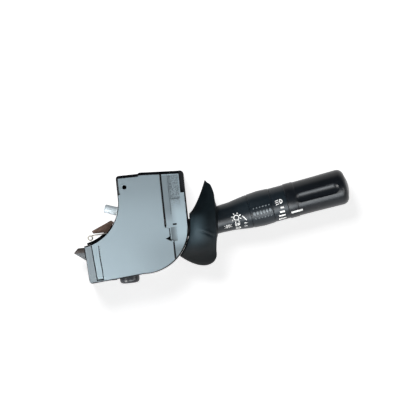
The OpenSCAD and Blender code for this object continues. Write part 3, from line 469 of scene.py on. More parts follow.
# Each node with the name of its copy, the radius of its edges in millimetres and their segments
softened = {
    "base_housing": ("baseShell", 0.5, 3),
    "cover": ("coverShell", 0.45, 3),
    "side_cover": ("sideCoverShell", 0.35, 2),
    "end_panel": ("endPanelShell", 0.35, 2),
    "contact_band": ("contactBandStrip", 0.25, 2),
    "horn_contact": ("hornContactLeaf", 0.2, 2),
    "horn_spring": ("hornSpringStrip", 0.15, 2),
    "locating_nose": ("locatingNoseWedge", 0.4, 2),
    "connector_socket": ("connectorShroud", 0.2, 2),
}
for node, (name, radius, segments) in softened.items():
    softenedNode(node, name, radius, segments)
print("housing pieces softened")

# The stalk's own frame: z runs along the stalk from the front of the boot, -x faces the cover side
knobJoint = next(j for j in frame["joints"] if j["name"] == "knob_turn")
stalkAxis = Vector(knobJoint["axis"]).normalized()
stalkStart = Vector(knobJoint["pos_m"])
stalkAngle = math.atan2(stalkAxis.y, stalkAxis.x)
stalkMatrix = (
    Matrix.Translation(stalkStart)
    @ Matrix.Rotation(stalkAngle, 4, "Z")
    @ Matrix.Rotation(math.radians(90), 4, "Y")
)

# Millimetres; the gap is between a turning piece and its neighbour
stalk = {
    "tubeLength": 21.7, "sleeveLength": 16.0, "ringLength": 10.5, "knobLength": 43.5,
    "sleeveRadius": 12.5, "ringRadius": 12.0, "knobRadius": 12.5, "gap": 0.1, "steps": 144,
}
sleeveAt = stalk["tubeLength"]
ringAt = sleeveAt + stalk["sleeveLength"]
knobAt = ringAt + stalk["ringLength"]
knobEnd = knobAt + stalk["knobLength"]


# A round piece spun from a profile of (radius, station) points in millimetres
def spunPiece(points, steps=stalk["steps"]):
    bm = bmesh.new()
    verts = [bm.verts.new((r * mm, 0, s * mm)) for r, s in points]
    edges = [bm.edges.new(pair) for pair in zip(verts, verts[1:] + verts[:1])]
    bmesh.ops.spin(
        bm, geom=verts + edges, axis=(0, 0, 1), cent=(0, 0, 0), angle=2 * math.pi,
        steps=steps, use_merge=True)
    bmesh.ops.remove_doubles(bm, verts=bm.verts, dist=0.001 * mm)
    bmesh.ops.recalc_face_normals(bm, faces=bm.faces)
    return bm


# Profile with its corners cut by small arcs
def roundedPath(points, radius, steps=4):
    path = []
    count = len(points)
    for i, point in enumerate(points):
        here = Vector(point)
        before = Vector(points[i - 1]) - here
        after = Vector(points[(i + 1) % count]) - here
        reach = min(radius, before.length * 0.45, after.length * 0.45)
        first = here + before.normalized() * reach
        last = here + after.normalized() * reach
        for k in range(steps + 1):
            t = k / steps
            path.append(tuple(first.lerp(here, t).lerp(here.lerp(last, t), t)))
    return path


def onStalk(bm):
    bmesh.ops.transform(bm, matrix=stalkMatrix, verts=bm.verts)
    return bm


print("stalk frame set")


# Stalk tube with the neck that carries the turning pieces; taper holds (radius, station) from the boot on
tubeLook = {
    "taper": [(9.6, 0), (10.06, 8.7), (10.98, 14.5), (11.8, 20.4)], "endDrop": 0.4, "endRun": 0.1,
    "bore": 6.05, "back": -8.0, "neck": 8.6, "neckBore": 7.0, "boreStep": 3, "neckEnd": 54.2, "corner": 0.3,
}


def tubeProfile(look):
    startRadius = look["taper"][0][0]
    endRadius = look["taper"][-1][0]
    outside = [(startRadius, look["back"])] + look["taper"] + [
        (endRadius, sleeveAt - look["endRun"]), (endRadius - look["endDrop"], sleeveAt),
    ]
    neck = [
        (look["neck"], sleeveAt), (look["neck"], look["neckEnd"]),
        (look["neckBore"], look["neckEnd"]), (look["neckBore"], look["boreStep"]),
    ]
    return [(look["bore"], look["back"])] + outside + neck + [(look["bore"], look["boreStep"])]


# Index ring between the sleeve and the knob
ringLook = {"bore": 8.65, "edgeDrop": 0.1, "edgeRun": 0.2, "corner": 0.3}


def ringProfile(look):
    high = stalk["ringRadius"]
    low = high - look["edgeDrop"]
    return [
        (look["bore"], ringAt), (low, ringAt), (high, ringAt + look["edgeRun"]),
        (high, knobAt - look["edgeRun"]), (low, knobAt), (look["bore"], knobAt),
    ]


for name, node, profile, corner in (
        ("stalkTubeBody", "stalk_tube", tubeProfile(tubeLook), tubeLook["corner"]),
        ("indexRingBody", "index_ring", ringProfile(ringLook), ringLook["corner"])):
    fixedPiece = onStalk(spunPiece(roundedPath(profile, corner)))
    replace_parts(addPiece(name, fixedPiece, "stalkBlack", "stalk"), node)

# Turning sleeve: a slight barrel with rows of small bumps, larger and smaller ones by turns
sleeveLook = {
    "bore": 8.8, "startRadius": 12.0, "riseShare": 0.45, "levelShare": 0.65, "fall": 0.3, "corner": 0.35,
    "startDrop": 0.2, "startRun": 0.3, "endDrop": 0.6, "endRun": 0.4,
    "rows": 3, "rowPitch": 17.5, "perRow": 6, "firstBump": 2.6, "bumpPitch": 2.25,
    "turn": 12.7,  # degrees that the middle row lies below the side that faces the cover
    "large": (0.95, 1.4), "small": (0.55, 0.5), "height": 0.75,  # half length and half width of a bump
}
sleeveStart = sleeveAt + stalk["gap"]
sleeveEnd = ringAt - stalk["gap"]


def sleeveRadiusAt(station):
    look = sleeveLook
    along = (station - sleeveStart) / stalk["sleeveLength"]
    if along < look["riseShare"]:
        rise = stalk["sleeveRadius"] - look["startRadius"]
        return look["startRadius"] + rise * along / look["riseShare"]
    return stalk["sleeveRadius"] - max(0, along - look["levelShare"])


def sleeveBody(look):
    high = stalk["sleeveRadius"]
    shares = (look["riseShare"], look["levelShare"])
    level = [(high, sleeveStart + share * stalk["sleeveLength"]) for share in shares]
    return onStalk(spunPiece(roundedPath([
        (look["bore"], sleeveStart), (look["startRadius"] - look["startDrop"], sleeveStart),
        (look["startRadius"], sleeveStart + look["startRun"]), *level,
        (high - look["fall"], sleeveEnd - look["endRun"]), (high - look["endDrop"], sleeveEnd),
        (look["bore"], sleeveEnd),
    ], look["corner"])))


def sleeveBumps(look):
    bm = bmesh.new()
    places = [(side, row - look["rows"] // 2) for side in (0, 180) for row in range(look["rows"])]
    for side, place in places:
        angle = math.radians(180 + side + look["turn"] + look["rowPitch"] * place)
        long, wide = look["small"] if place % 2 else look["large"]
        for k in range(look["perRow"]):
            station = sleeveStart + look["firstBump"] + k * look["bumpPitch"]
            made = bmesh.ops.create_icosphere(bm, subdivisions=2, radius=1)
            shape = (
                Matrix.Rotation(angle, 4, "Z")
                @ Matrix.Translation((sleeveRadiusAt(station) * mm, 0, station * mm))
                @ Matrix.Diagonal((look["height"] * mm, wide * mm, long * mm, 1))
            )
            bmesh.ops.transform(bm, matrix=shape, verts=made["verts"])
    return onStalk(bm)


sleeve = addPiece("gripSleeveBody", sleeveBody(sleeveLook), "stalkBlack", "sleeve")
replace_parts(sleeve, "grip_sleeve")
# The bumps take a lighter grey, a painted highlight for the light on their tops
addPiece("gripSleeveBumps", sleeveBumps(sleeveLook), "bumpHighlightGrey", "sleeve")

# End knob with a long scoop on both sides
knobLook = {
    "neckBore": 8.8, "neckDepth": 7.0, "buttonBore": 7.9, "floor": 21.75, "rodBore": 2.25,
    # How far the outside lies below the knob's radius, and where: a collar, a step and a slight waist
    "outside": [(0.1, 6.6), (0.25, 6.9), (0.45, 7.2), (0.4, 8), (0.35, 18), (0.1, 32)],
    "startDrop": 0.4, "startRun": 0.3, "endRound": 5.0, "endTurn": 75, "endSteps": 12, "buttonRim": 0.05,
    "scoopHalf": 3.7, "scoopLength": 32.0, "scoopMiddle": 22.0, "scoopDepth": 2.0, "scoopSwell": 1.6,
    "edgeRound": 0.3, "edgeSegments": 3, "edgeAngle": 38, "smoothAngle": 40,
}


def knobBody(look):
    high = stalk["knobRadius"]
    bend = look["endRound"]
    start = knobAt + stalk["gap"]
    collar = high - look["outside"][0][0]
    outside = [(high - drop, knobAt + station) for drop, station in look["outside"]]
    angles = [math.radians(look["endTurn"] * k / look["endSteps"]) for k in range(look["endSteps"] + 1)]
    arc = [(high - bend + bend * math.cos(a), knobEnd - bend + bend * math.sin(a)) for a in angles]
    return onStalk(spunPiece([
        (look["rodBore"], knobAt + look["neckDepth"]), (look["neckBore"], knobAt + look["neckDepth"]),
        (look["neckBore"], start), (high - look["startDrop"], start), (collar, start + look["startRun"]),
        *outside, *arc,
        (look["buttonBore"], knobEnd - look["buttonRim"]), (look["buttonBore"], knobAt + look["floor"]),
        (look["rodBore"], knobAt + look["floor"]),
    ]))


# Long round-ended shape that leaves the scoop in the knob: a ball pulled out along the stalk
def scoopCutter(look, side):
    bm = bmesh.new()
    ball = look["scoopHalf"] * look["scoopSwell"]
    bmesh.ops.create_uvsphere(bm, u_segments=64, v_segments=48, radius=ball * mm)
    inDepth = math.sqrt(ball ** 2 - look["scoopHalf"] ** 2)
    stretch = look["scoopLength"] / 2 - inDepth
    for vert in bm.verts:
        if abs(vert.co.z) > 0.01 * mm:
            vert.co.z += math.copysign(stretch * mm, vert.co.z)
    lift = (stalk["knobRadius"] - look["scoopDepth"] + ball) * mm
    middle = (knobAt + look["scoopMiddle"]) * mm
    bmesh.ops.translate(bm, vec=(side * lift, 0, middle), verts=bm.verts)
    data = bpy.data.meshes.new("scoopCutter")
    onStalk(bm).to_mesh(data)
    bm.free()
    cutter = bpy.data.objects.new("scoopCutter", data)
    bpy.context.scene.collection.objects.link(cutter)
    return cutter


def cutAway(piece, cutter):
    change = piece.modifiers.new("cut", "BOOLEAN")
    change.operation = "DIFFERENCE"
    change.solver = "EXACT"
    change.object = cutter
    applyModifiers(piece)
    bpy.data.objects.remove(cutter, do_unlink=True)


knob = addPiece("endKnobBody", knobBody(knobLook), "knobBlack", "knob")
for side in (-1, 1):
    cutAway(knob, scoopCutter(knobLook, side))
knobEdges = knob.modifiers.new("roundedEdges", "BEVEL")
knobEdges.width = knobLook["edgeRound"] * mm
knobEdges.segments = knobLook["edgeSegments"]
knobEdges.limit_method = "ANGLE"
knobEdges.angle_limit = math.radians(knobLook["edgeAngle"])
applyModifiers(knob)
knob.data.shade_smooth()
knob.data.set_sharp_from_angle(angle=math.radians(knobLook["smoothAngle"]))
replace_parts(knob, "end_knob")

# Push button in the end of the knob, a shallow dome that carries on the knob's end
tipLook = {"radius": 7.6, "dome": 1.4, "start": 77.05, "rimDrop": 0.15, "rimShare": 0.985, "steps": 14}
axisRadius = 0.01           # millimetres from the axis to the ends of a profile that has a pole


def tipProfile(look):
    ball = (look["radius"] ** 2 + look["dome"] ** 2) / (2 * look["dome"])
    rim = math.asin(look["radius"] / ball) * look["rimShare"]
    path = [
        (axisRadius, look["start"]), (look["radius"], look["start"]),
        (look["radius"], knobEnd - look["rimDrop"]),
    ]
    for k in range(look["steps"] + 1):
        a = rim * (1 - k / look["steps"])
        path.append((max(axisRadius, ball * math.sin(a)), knobEnd + look["dome"] - ball * (1 - math.cos(a))))
    return path


tipBody = onStalk(spunPiece(tipProfile(tipLook)))
tipButton = addPiece("tipButtonCap", tipBody, "buttonBlack", "tip_button")
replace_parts(tipButton, "end_button")
print("stalk pieces made")

# Boot: a flared skirt behind a nearly flat front, pointed at its top and round at its bottom
bootLook = {
    # Outline seen from the front: reach up, down and sideways, and the powers of its upper and lower oval
    "up": 29.5, "down": 28.9, "side": 17.4, "upperPower": 1.75, "lowerPower": 2.2,
    # Front edge seen from the cover side, as stations: level, then a lean of some degrees, then a round end
    "frontUp": 18.0, "frontStation": 0.7, "frontSwell": 1.1, "lean": 12.6, "bottomRound": 8.0,
    "notchUp": 26.2, "notchStation": -0.6, "notchLean": 1.1, "notchDepth": 1.1, "notchSteep": 6,
    "tipStation": -3.0,
    # Narrow end at the housing
    "neckUp": 9.6, "neckDown": 17.6, "neckSide": 12.2, "neckPower": 2.3, "backGap": 0.1,
    # Skirt and front wall
    "wall": 1.6, "tube": 9.85, "arm": 6.6, "armRim": 0.4, "frontRim": 0.5, "rimBack": 0.3,
    "sideCurve": 0.6, "dish": 0.35, "collar": 0.7, "collarSpread": 1.5, "belly": 0.35,
    "upperFlare": 0.35, "lowerFlare": 0.75,
    # Folds on the camera side: places are (station, height), the others millimetres
    "bulge": {"at": (-17.0, -1.0), "spread": 4.6, "height": 1.5},
    "valley": {"at": (-14.5, -12.5), "spread": 5.0, "height": -1.1},
    "crease": {"from": (-14.0, -5.4), "to": (-6.8, -10.8), "spread": 0.65, "height": -1.8, "endShare": 0.35,
               "endFade": 1.5, "lip": 0.9, "lipBeside": 1.5, "lipSpread": 1.1},
    "around": 160, "along": 34, "frontRings": 16, "backRings": 5, "smoothAngle": 70,
}
turnJoint = next(j for j in frame["joints"] if j["name"] == "turn")
pivotLocal = stalkMatrix.inverted() @ Vector(turnJoint["pos_m"])
pivotStation = pivotLocal.z / mm
pivotOffset = pivotLocal.y / mm
housingRadius = 32.1        # round end of the housing about the turn pin, millimetres
turnReach = math.radians(7)
flashReach = math.radians(5)


# Station of the boot's front edge at a height across the stalk
def frontEdge(up):
    look = bootLook
    if up > look["notchUp"]:
        t = (up - look["notchUp"]) / (look["up"] - look["notchUp"])
        notch = look["notchDepth"] * min(1, t * look["notchSteep"])
        rise = look["tipStation"] - look["notchStation"] + look["notchDepth"]
        return look["notchStation"] - notch + rise * t
    if up > look["frontUp"]:
        t = (up - look["frontUp"]) / (look["notchUp"] - look["frontUp"])
        return look["frontStation"] - look["notchLean"] * t * t
    lowest = look["bottomRound"] - look["down"]
    below = look["frontUp"] - max(up, lowest)
    station = look["frontStation"] - below * math.tan(math.radians(look["lean"]))
    station += look["frontSwell"] * math.sin(math.pi * below / (look["frontUp"] - lowest))
    if up < lowest:
        drop = min(1, (lowest - up) / look["bottomRound"])
        station -= look["bottomRound"] * (1 - math.sqrt(max(0, 1 - drop * drop)))
    return station


# Station of the boot's back edge, which clears the housing while the stalk turns and tips
def backEdge(side, up):
    radius = housingRadius + bootLook["backGap"] + abs(side) * math.tan(flashReach)
    across = up - pivotOffset
    tilt = stalkAngle + turnReach
    if across > -radius * math.sin(tilt):
        return pivotStation + (radius + across * math.sin(tilt)) / math.cos(tilt)
    return pivotStation + math.sqrt(max(1, radius * radius - across * across))


# Distance from the middle to the edge of an oval at an angle from straight up
def ovalRadius(angle, high, wide, power):
    return (abs(math.cos(angle) / high) ** power + abs(math.sin(angle) / wide) ** power) ** (-1 / power)


def bootRim(angle):
    look = bootLook
    if math.cos(angle) > 0:
        return ovalRadius(angle, look["up"], look["side"], look["upperPower"])
    return ovalRadius(angle, look["down"], look["side"], look["lowerPower"])


def bootNeck(angle):
    look = bootLook
    high = look["neckUp"] if math.cos(angle) > 0 else look["neckDown"]
    return ovalRadius(angle, high, look["neckSide"], look["neckPower"])


# Height that the folds add to the skirt's cover side at a station and height
def foldHeight(station, up):
    total = 0
    for name in ("bulge", "valley"):
        fold = bootLook[name]
        far = math.hypot(station - fold["at"][0], up - fold["at"][1]) / fold["spread"]
        total += fold["height"] * math.exp(-far * far)
    crease = bootLook["crease"]
    first = Vector(crease["from"])
    run = Vector(crease["to"]) - first
    here = Vector((station, up)) - first
    t = min(1, max(0, here.dot(run) / run.length_squared))
    offset = here - run * t
    beside = offset.dot(Vector((-run.y, run.x)).normalized())
    past = max(0, offset.length - abs(beside))
    deep = crease["endShare"] + (1 - crease["endShare"]) * math.sin(math.pi * t)
    end = math.exp(-(past / crease["endFade"]) ** 2) * deep
    total += end * crease["height"] * math.exp(-(beside / crease["spread"]) ** 2)
    total += end * crease["lip"] * math.exp(-((beside - crease["lipBeside"]) / crease["lipSpread"]) ** 2)
    return total


# Point on the skirt, t = 0 at the neck and 1 at the rim
def bootPoint(angle, t):
    look = bootLook
    c = math.cos(angle)
    s = math.sin(angle)
    rim = bootRim(angle)
    neck = bootNeck(angle)
    rimStation = frontEdge(rim * c) - look["rimBack"] - look["sideCurve"] * s * s
    neckStation = backEdge(neck * s, neck * c)
    if c > 0:
        flare = t ** (1 + look["upperFlare"] * c)
    else:
        flare = 1 - (1 - t) ** (1 - look["lowerFlare"] * c)
    belly = look["belly"] * (1 - max(0, c)) * math.sin(math.pi * t)
    radius = neck + (rim - neck) * flare + belly
    station = neckStation + (rimStation - neckStation) * t
    coverSide = max(0, -s) ** 0.5
    inside = math.sin(math.pi * min(1, t * 1.02)) ** 0.6    # no fold at the neck or the rim
    radius += foldHeight(station, radius * c) * coverSide * inside
    return radius * s, radius * c, station


# Point on the thin wall that closes the boot's back round the stalk's arm
def bootBackPoint(angle, t):
    radius = bootLook["arm"] + (bootNeck(angle) - bootLook["armRim"] - bootLook["arm"]) * t
    side = radius * math.sin(angle)
    up = radius * math.cos(angle)
    return side, up, backEdge(side, up)


# Point on the front wall, t = 0 at the rim and 1 at the tube, where a low collar stands up
def bootFrontPoint(angle, t):
    look = bootLook
    rim = bootRim(angle)
    radius = (rim - look["frontRim"]) * (1 - t) + look["tube"] * t
    up = radius * math.cos(angle)
    share = (radius - look["tube"]) / (rim - look["tube"])
    dish = -look["dish"] * math.sin(math.pi * min(1, max(0, share))) ** 2
    collar = look["collar"] * math.exp(-((radius - look["tube"]) / look["collarSpread"]) ** 2)
    station = frontEdge(up) - look["sideCurve"] * math.sin(angle) ** 2 * share + dish + collar
    return radius * math.sin(angle), up, station


# Rings of the back wall, the skirt and the front wall, bridged one after the other
def bootSurface():
    bm = bmesh.new()
    count = bootLook["around"]
    angles = [2 * math.pi * (k + 0.5) / count for k in range(count)]
    rings = []
    for makePoint, steps in (
            (bootBackPoint, bootLook["backRings"]), (bootPoint, bootLook["along"]),
            (bootFrontPoint, bootLook["frontRings"])):
        for i in range(steps + 1):
            rings.append([bm.verts.new(Vector(makePoint(angle, i / steps)) * mm) for angle in angles])
    for first, second in zip(rings, rings[1:]):
        edges = []
        for ring in (first, second):
            for k in range(count):
                pair = (ring[k], ring[(k + 1) % count])
                edges.append(bm.edges.get(pair) or bm.edges.new(pair))
        bmesh.ops.bridge_loops(bm, edges=edges)
    bmesh.ops.recalc_face_normals(bm, faces=bm.faces)
    return bm


def makeBoot():
    skin = onStalk(bootSurface())
    piece = addPiece("bootSkin", skin, "bootRubber", "stalk", bootLook["smoothAngle"])
    shell = piece.modifiers.new("wall", "SOLIDIFY")
    shell.thickness = bootLook["wall"] * mm
    shell.offset = -1
    shell.use_even_offset = True
    smooth = piece.modifiers.new("smooth", "SUBSURF")
    smooth.levels = 1
    smooth.render_levels = 1
    applyModifiers(piece)
    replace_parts(piece, "boot")


makeBoot()
print("boot made")

# Lower button, with its end towards -Y
lowButtonLook = {
    "radius": 7.0, "middleZ": 14.0, "dome": [(2.4, 0.05), (0.9, 0.6), (0.15, 1.7), (0, 3.0)],
    "flange": 7.5, "flangeWide": 1.2, "flangeThick": 1.55, "stem": 2.6, "stemEnd": 12.3,
    "corner": 0.7, "steps": 96,
}


def lowButtonCap(look):
    wide = look["radius"] + look["flangeWide"]
    flangeEnd = look["flange"] + look["flangeThick"]
    profile = [
        (axisRadius, 0.0), *[(look["radius"] - inset, depth) for inset, depth in look["dome"]],
        (look["radius"], look["flange"]), (wide, look["flange"]), (wide, flangeEnd),
        (look["stem"], flangeEnd), (look["stem"], look["stemEnd"]), (axisRadius, look["stemEnd"]),
    ]
    bm = spunPiece(roundedPath(profile, look["corner"]), look["steps"])
    low, high = [Vector(corner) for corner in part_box("low_button")]
    place = Matrix.Translation(((low.x + high.x) / 2, low.y, look["middleZ"] * mm))
    turn = Matrix.Rotation(math.radians(-90), 4, "X")
    bmesh.ops.transform(bm, matrix=place @ turn, verts=bm.verts)
    return bm


lowCap = lowButtonCap(lowButtonLook)
lowButton = addPiece("lowButtonCap", lowCap, "buttonBlack", "side_button")
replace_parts(lowButton, "low_button")
print("lower button made")

# Printed marks: thin raised shapes laid on the round surface
markLook = {
    "lift": 0.06, "thick": 0.08, "step": 0.5, "collarEnd": 7, "collarDrop": 0.1, "waistDrop": 0.38,
    "lensLine": 0.6, "beamLine": 0.55, "shortLine": 0.5, "lampLine": 0.65,
}


# Point on a round surface; arc is millimetres down from the side that faces the cover
def markPoint(station, arc, radius):
    angle = arc / radius
    return Vector((-radius * math.cos(angle) * mm, -radius * math.sin(angle) * mm, station * mm))


# Radius of the tube, the ring, the knob's collar or its waist
def surfaceRadius(station):
    if station < sleeveAt:
        taper = tubeLook["taper"]
        for (r0, s0), (r1, s1) in zip(taper, taper[1:]):
            if station <= s1:
                return r0 + (r1 - r0) * max(0, (station - s0) / (s1 - s0))
        return taper[-1][0]
    if station < knobAt:
        return stalk["ringRadius"]
    if station < knobAt + markLook["collarEnd"]:
        return stalk["knobRadius"] - markLook["collarDrop"]
    return stalk["knobRadius"] - markLook["waistDrop"]


# Flat stroke along a path of (station, arc) points
def addStroke(bm, path, width):
    points = []
    for (s0, a0), (s1, a1) in zip(path, path[1:]):
        pieces = max(1, int(math.hypot(s1 - s0, a1 - a0) / markLook["step"]))
        for k in range(pieces):
            t = k / pieces
            points.append(Vector((s0 + (s1 - s0) * t, a0 + (a1 - a0) * t)))
    points.append(Vector(path[-1]))
    rows = []
    for i, point in enumerate(points):
        ahead = points[min(i + 1, len(points) - 1)]
        behind = points[max(i - 1, 0)]
        along = (ahead - behind).normalized()
        across = Vector((-along.y, along.x)) * width / 2
        row = []
        for side in (-1, 1):
            spot = point + across * side
            radius = surfaceRadius(spot.x) + markLook["lift"]
            row.append(bm.verts.new(markPoint(spot.x, spot.y, radius)))
        rows.append(row)
    for first, second in zip(rows, rows[1:]):
        bm.faces.new((first[0], first[1], second[1], second[0]))


def roundPath(station, arc, wide, high, fromAngle, toAngle, count):
    angles = [math.radians(fromAngle + (toAngle - fromAngle) * k / count) for k in range(count + 1)]
    return [(station + wide * math.cos(a), arc + high * math.sin(a)) for a in angles]


# Half a lens, closed by its flat side
def lensPath(station, arc, wide, high, count):
    bow = roundPath(station, arc, wide, high, 90, -90, count)
    return bow + bow[:1]


def makeMarks(name, strokes, body):
    bm = bmesh.new()
    for path, width in strokes:
        addStroke(bm, path, width)
    bmesh.ops.recalc_face_normals(bm, faces=bm.faces)
    piece = addPiece(name, onStalk(bm), "markWhite", body)
    skin = piece.modifiers.new("thickness", "SOLIDIFY")
    skin.thickness = markLook["thick"] * mm
    skin.offset = 0
    applyModifiers(piece)


# Four ticks on the ring, each longer than the one above it
ringMarks = {"angles": (16, 31, 46.5, 64), "lengths": (2.4, 3.6, 4.7, 5.5), "width": 1.4, "end": 7.6}
ringStrokes = []
for angle, length in zip(ringMarks["angles"], ringMarks["lengths"]):
    arc = math.radians(angle) * stalk["ringRadius"]
    ringStrokes.append((
        [(ringAt + ringMarks["end"] - length, arc), (ringAt + ringMarks["end"], arc)], ringMarks["width"]))
makeMarks("indexTicks", ringStrokes, "stalk")


# Arc on a surface below the side that faces the cover, for a drop across the stalk
def arcOf(drop, station):
    radius = surfaceRadius(station)
    return radius * math.asin(max(-0.99, min(0.99, drop / radius)))


# Half round lens with three beams on its left. The signs' parts are shares of the sign's size
def lensSign(station, arc, size, slope=0.0):
    lens = lensPath(station + size * 0.25, arc, size * 0.6, size * 0.5, 12)
    strokes = [(lens, markLook["lensLine"])]
    for share in (-0.5, 0.0, 0.5):
        row = arc + size * share
        beam = [(station - size * 0.95, row + slope), (station - size * 0.1, row)]
        strokes.append((beam, markLook["beamLine"]))
    return strokes


# Two lenses back to back with short beams
def pairSign(station, arc, size):
    strokes = []
    for side in (-size, size):
        lens = lensPath(station + side * 0.2, arc, side * 0.45, size * 0.5, 10)
        strokes.append((lens, markLook["beamLine"]))
        for row in (-0.3 * size, 0.3 * size):
            beam = [(station + side * 0.85, arc + row), (station + side * 1.15, arc + row * 1.4)]
            strokes.append((beam, markLook["shortLine"]))
    return strokes


# Round lamp with eight rays
def lampSign(station, arc, size):
    lamp = roundPath(station, arc, size * 0.46, size * 0.46, 0, 360, 24)
    strokes = [(lamp, markLook["lampLine"])]
    for k in range(8):
        a = math.radians(45 * k + 22.5)
        ray = [(station + size * far * math.cos(a), arc + size * far * math.sin(a)) for far in (0.66, 0.95)]
        strokes.append((ray, markLook["lampLine"]))
    return strokes


# Signs printed on the tube: station and drop below the side that faces the cover, in millimetres
tubeMarks = {
    "lamp": {"at": (11.3, 1.9), "size": 3.9},
    "pair": {"at": (4.2, 6.4), "size": 2.4},
    "lenses": [{"at": (10.9, 6.6), "size": 1.9}, {"at": (10.9, 9.2), "size": 1.9}],
    "index": [[(15.7, 1.8), (17.9, 5.3)], [(15.7, 6.9), (18.0, 7.3)], [(15.5, 9.0), (17.4, 9.3)]],
    "indexWidth": 0.62,
}


def tubeStrokes(look):
    station, drop = look["lamp"]["at"]
    strokes = lampSign(station, arcOf(drop, station), look["lamp"]["size"])
    station, drop = look["pair"]["at"]
    strokes += pairSign(station, arcOf(drop, station), look["pair"]["size"])
    for sign in look["lenses"]:
        station, drop = sign["at"]
        strokes += lensSign(station, arcOf(drop, station), sign["size"])
    for line in look["index"]:
        path = [(station, arcOf(drop, station)) for station, drop in line]
        strokes.append((path, look["indexWidth"]))
    return strokes


makeMarks("tubeSigns", tubeStrokes(tubeMarks), "stalk")

fogMark = {"at": (42.8, -1.2), "size": 2.7, "slope": 0.4}
makeMarks("ringSign", lensSign(*fogMark["at"], fogMark["size"], fogMark["slope"]), "stalk")

pointerLook = {"start": 1.2, "length": 8.2, "angle": 43, "width": 1.75}
pointerArc = math.radians(pointerLook["angle"]) * stalk["knobRadius"]
pointerStart = knobAt + pointerLook["start"]
pointerPath = [(pointerStart, pointerArc), (pointerStart + pointerLook["length"], pointerArc)]
makeMarks("knobPointer", [(pointerPath, pointerLook["width"])], "knob")
print("marks made")

# Floor, world and lamps. Only keyBehind lights the floor, so the shadow there is its own, and only the
# other lamps show in reflections. softGlint gives nothing but its reflection
stageLook = {
    "floorTone": (0.82, 0.82, 0.83), "floorShadeTone": (0.25, 0.25, 0.26), "floorGlow": 0.82,
    "floorRough": 0.9, "floorSpecular": 0.1, "floorHalf": 3, "floorDrop": 0.00005,  # the last two in metres
    "worldStrength": 0.06, "wallTop": (0.02, 0.2),
    "lamps": [
        {"name": "keyBehind", "place": (-0.12, 0.42, 0.66), "size": (0.3, 0.3), "power": 2.8,
         "onFloor": True},
        {"name": "softNear", "place": (-0.14, -0.15, 0.13), "size": (0.12, 0.12), "power": 0.85},
        {"name": "softFront", "place": (0.05, -0.55, 0.95), "size": (0.6, 0.45), "power": 4.6},
        {"name": "softLow", "place": (0.05, -0.8, 0.14), "size": (1.0, 0.3), "power": 0.6},
        {"name": "softRight", "place": (0.75, -0.25, 0.5), "size": (0.4, 0.4), "power": 2.6},
        {"name": "softGlint", "place": (0.35, -0.8, 0.85), "size": (1.0, 0.5), "power": 14.5,
         "color": (0.9, 0.96, 1.0), "glintOnly": True},
    ],
    "target": (0.04, -0.005, 0.02),
}


# One for the rays that see the background: those of the camera, of reflections and through glass.
# A share, where one is given, dims the last two
def seenWhite(tree, share=None):
    path = addNode(tree, "ShaderNodeLightPath", (-1500, 300))
    both = addNode(tree, "ShaderNodeMath", (-1250, 200), operation="MAXIMUM")
    tree.links.new(path.outputs["Is Glossy Ray"], both.inputs[0])
    tree.links.new(path.outputs["Is Transmission Ray"], both.inputs[1])
    source = both.outputs[0]
    if share is not None:
        source = multiplied(tree, source, share, (-1100, 200))
    seen = addNode(tree, "ShaderNodeMath", (-950, 300), operation="MAXIMUM")
    tree.links.new(path.outputs["Is Camera Ray"], seen.inputs[0])
    tree.links.new(source, seen.inputs[1])
    return seen.outputs[0]


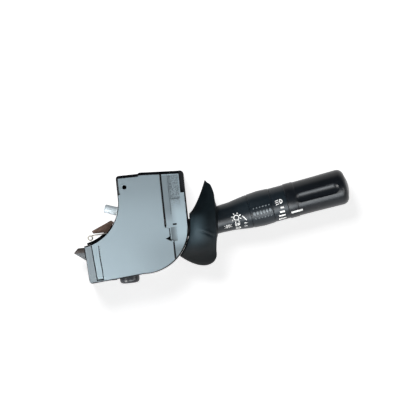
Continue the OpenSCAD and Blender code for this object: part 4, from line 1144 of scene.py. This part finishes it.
# The floor shows white to those rays and keeps the shadow of the lamps
def floorMaterial(look):
    material, tree, shader = newMaterial("floorWhite")
    shader.inputs["Roughness"].default_value = look["floorRough"]
    shader.inputs["Specular IOR Level"].default_value = look["floorSpecular"]
    seen = seenWhite(tree)
    tone = mixColor(tree, seen, look["floorShadeTone"], look["floorTone"], (-500, 0))
    tree.links.new(tone, shader.inputs["Base Color"])
    glow = addNode(tree, "ShaderNodeMath", (-300, 300), operation="MULTIPLY")
    glow.inputs[1].default_value = look["floorGlow"]
    tree.links.new(seen, glow.inputs[0])
    shader.inputs["Emission Color"].default_value = (1, 1, 1, 1)
    tree.links.new(glow.outputs[0], shader.inputs["Emission Strength"])
    return material


def addFloor(look):
    bm = bmesh.new()
    bmesh.ops.create_grid(bm, x_segments=2, y_segments=2, size=look["floorHalf"])
    bmesh.ops.translate(bm, vec=(0, 0, -look["floorDrop"]), verts=bm.verts)
    data = bpy.data.meshes.new("floor")
    bm.to_mesh(data)
    bm.free()
    floor = bpy.data.objects.new("floor", data)
    bpy.context.scene.collection.objects.link(floor)
    data.materials.append(floorMaterial(look))
    return floor


# White walls and a dark ceiling, which only reflections from straight above can see
def addWorld(look):
    world = bpy.data.worlds.new("studio")
    bpy.context.scene.world = world
    world.use_nodes = True
    tree = world.node_tree
    background = tree.nodes["Background"]
    background.inputs["Color"].default_value = (1, 1, 1, 1)
    way = addNode(tree, "ShaderNodeTexCoord", (-1900, 0))
    parts = addNode(tree, "ShaderNodeSeparateXYZ", (-1700, 0))
    tree.links.new(way.outputs["Generated"], parts.inputs[0])
    wall = span(tree, parts.outputs["Z"], 1, 0, *look["wallTop"], (-1500, 0))
    strength = span(tree, seenWhite(tree, wall), look["worldStrength"], 1, 0, 1, (-700, 0))
    tree.links.new(strength, background.inputs["Strength"])


def addLamps(look, floor):
    target = Vector(look["target"])
    spared = bpy.data.collections.new("sparedFloor")
    spared.objects.link(floor)
    spared.collection_objects[0].light_linking.link_state = "EXCLUDE"
    for row in look["lamps"]:
        data = bpy.data.lights.new(row["name"], "AREA")
        data.energy = row["power"]
        data.color = row.get("color", (1, 1, 1))
        data.shape = "RECTANGLE"
        data.size, data.size_y = row["size"]
        lamp = bpy.data.objects.new(row["name"], data)
        bpy.context.scene.collection.objects.link(lamp)
        lamp.visible_glossy = not row.get("onFloor", False)
        lamp.visible_diffuse = not row.get("glintOnly", False)
        if not row.get("onFloor", False):
            lamp.light_linking.receiver_collection = spared
        lamp.location = row["place"]
        lamp.rotation_euler = (target - lamp.location).to_track_quat("-Z", "Y").to_euler()


floor = addFloor(stageLook)
addWorld(stageLook)
addLamps(stageLook, floor)
print("stage set")
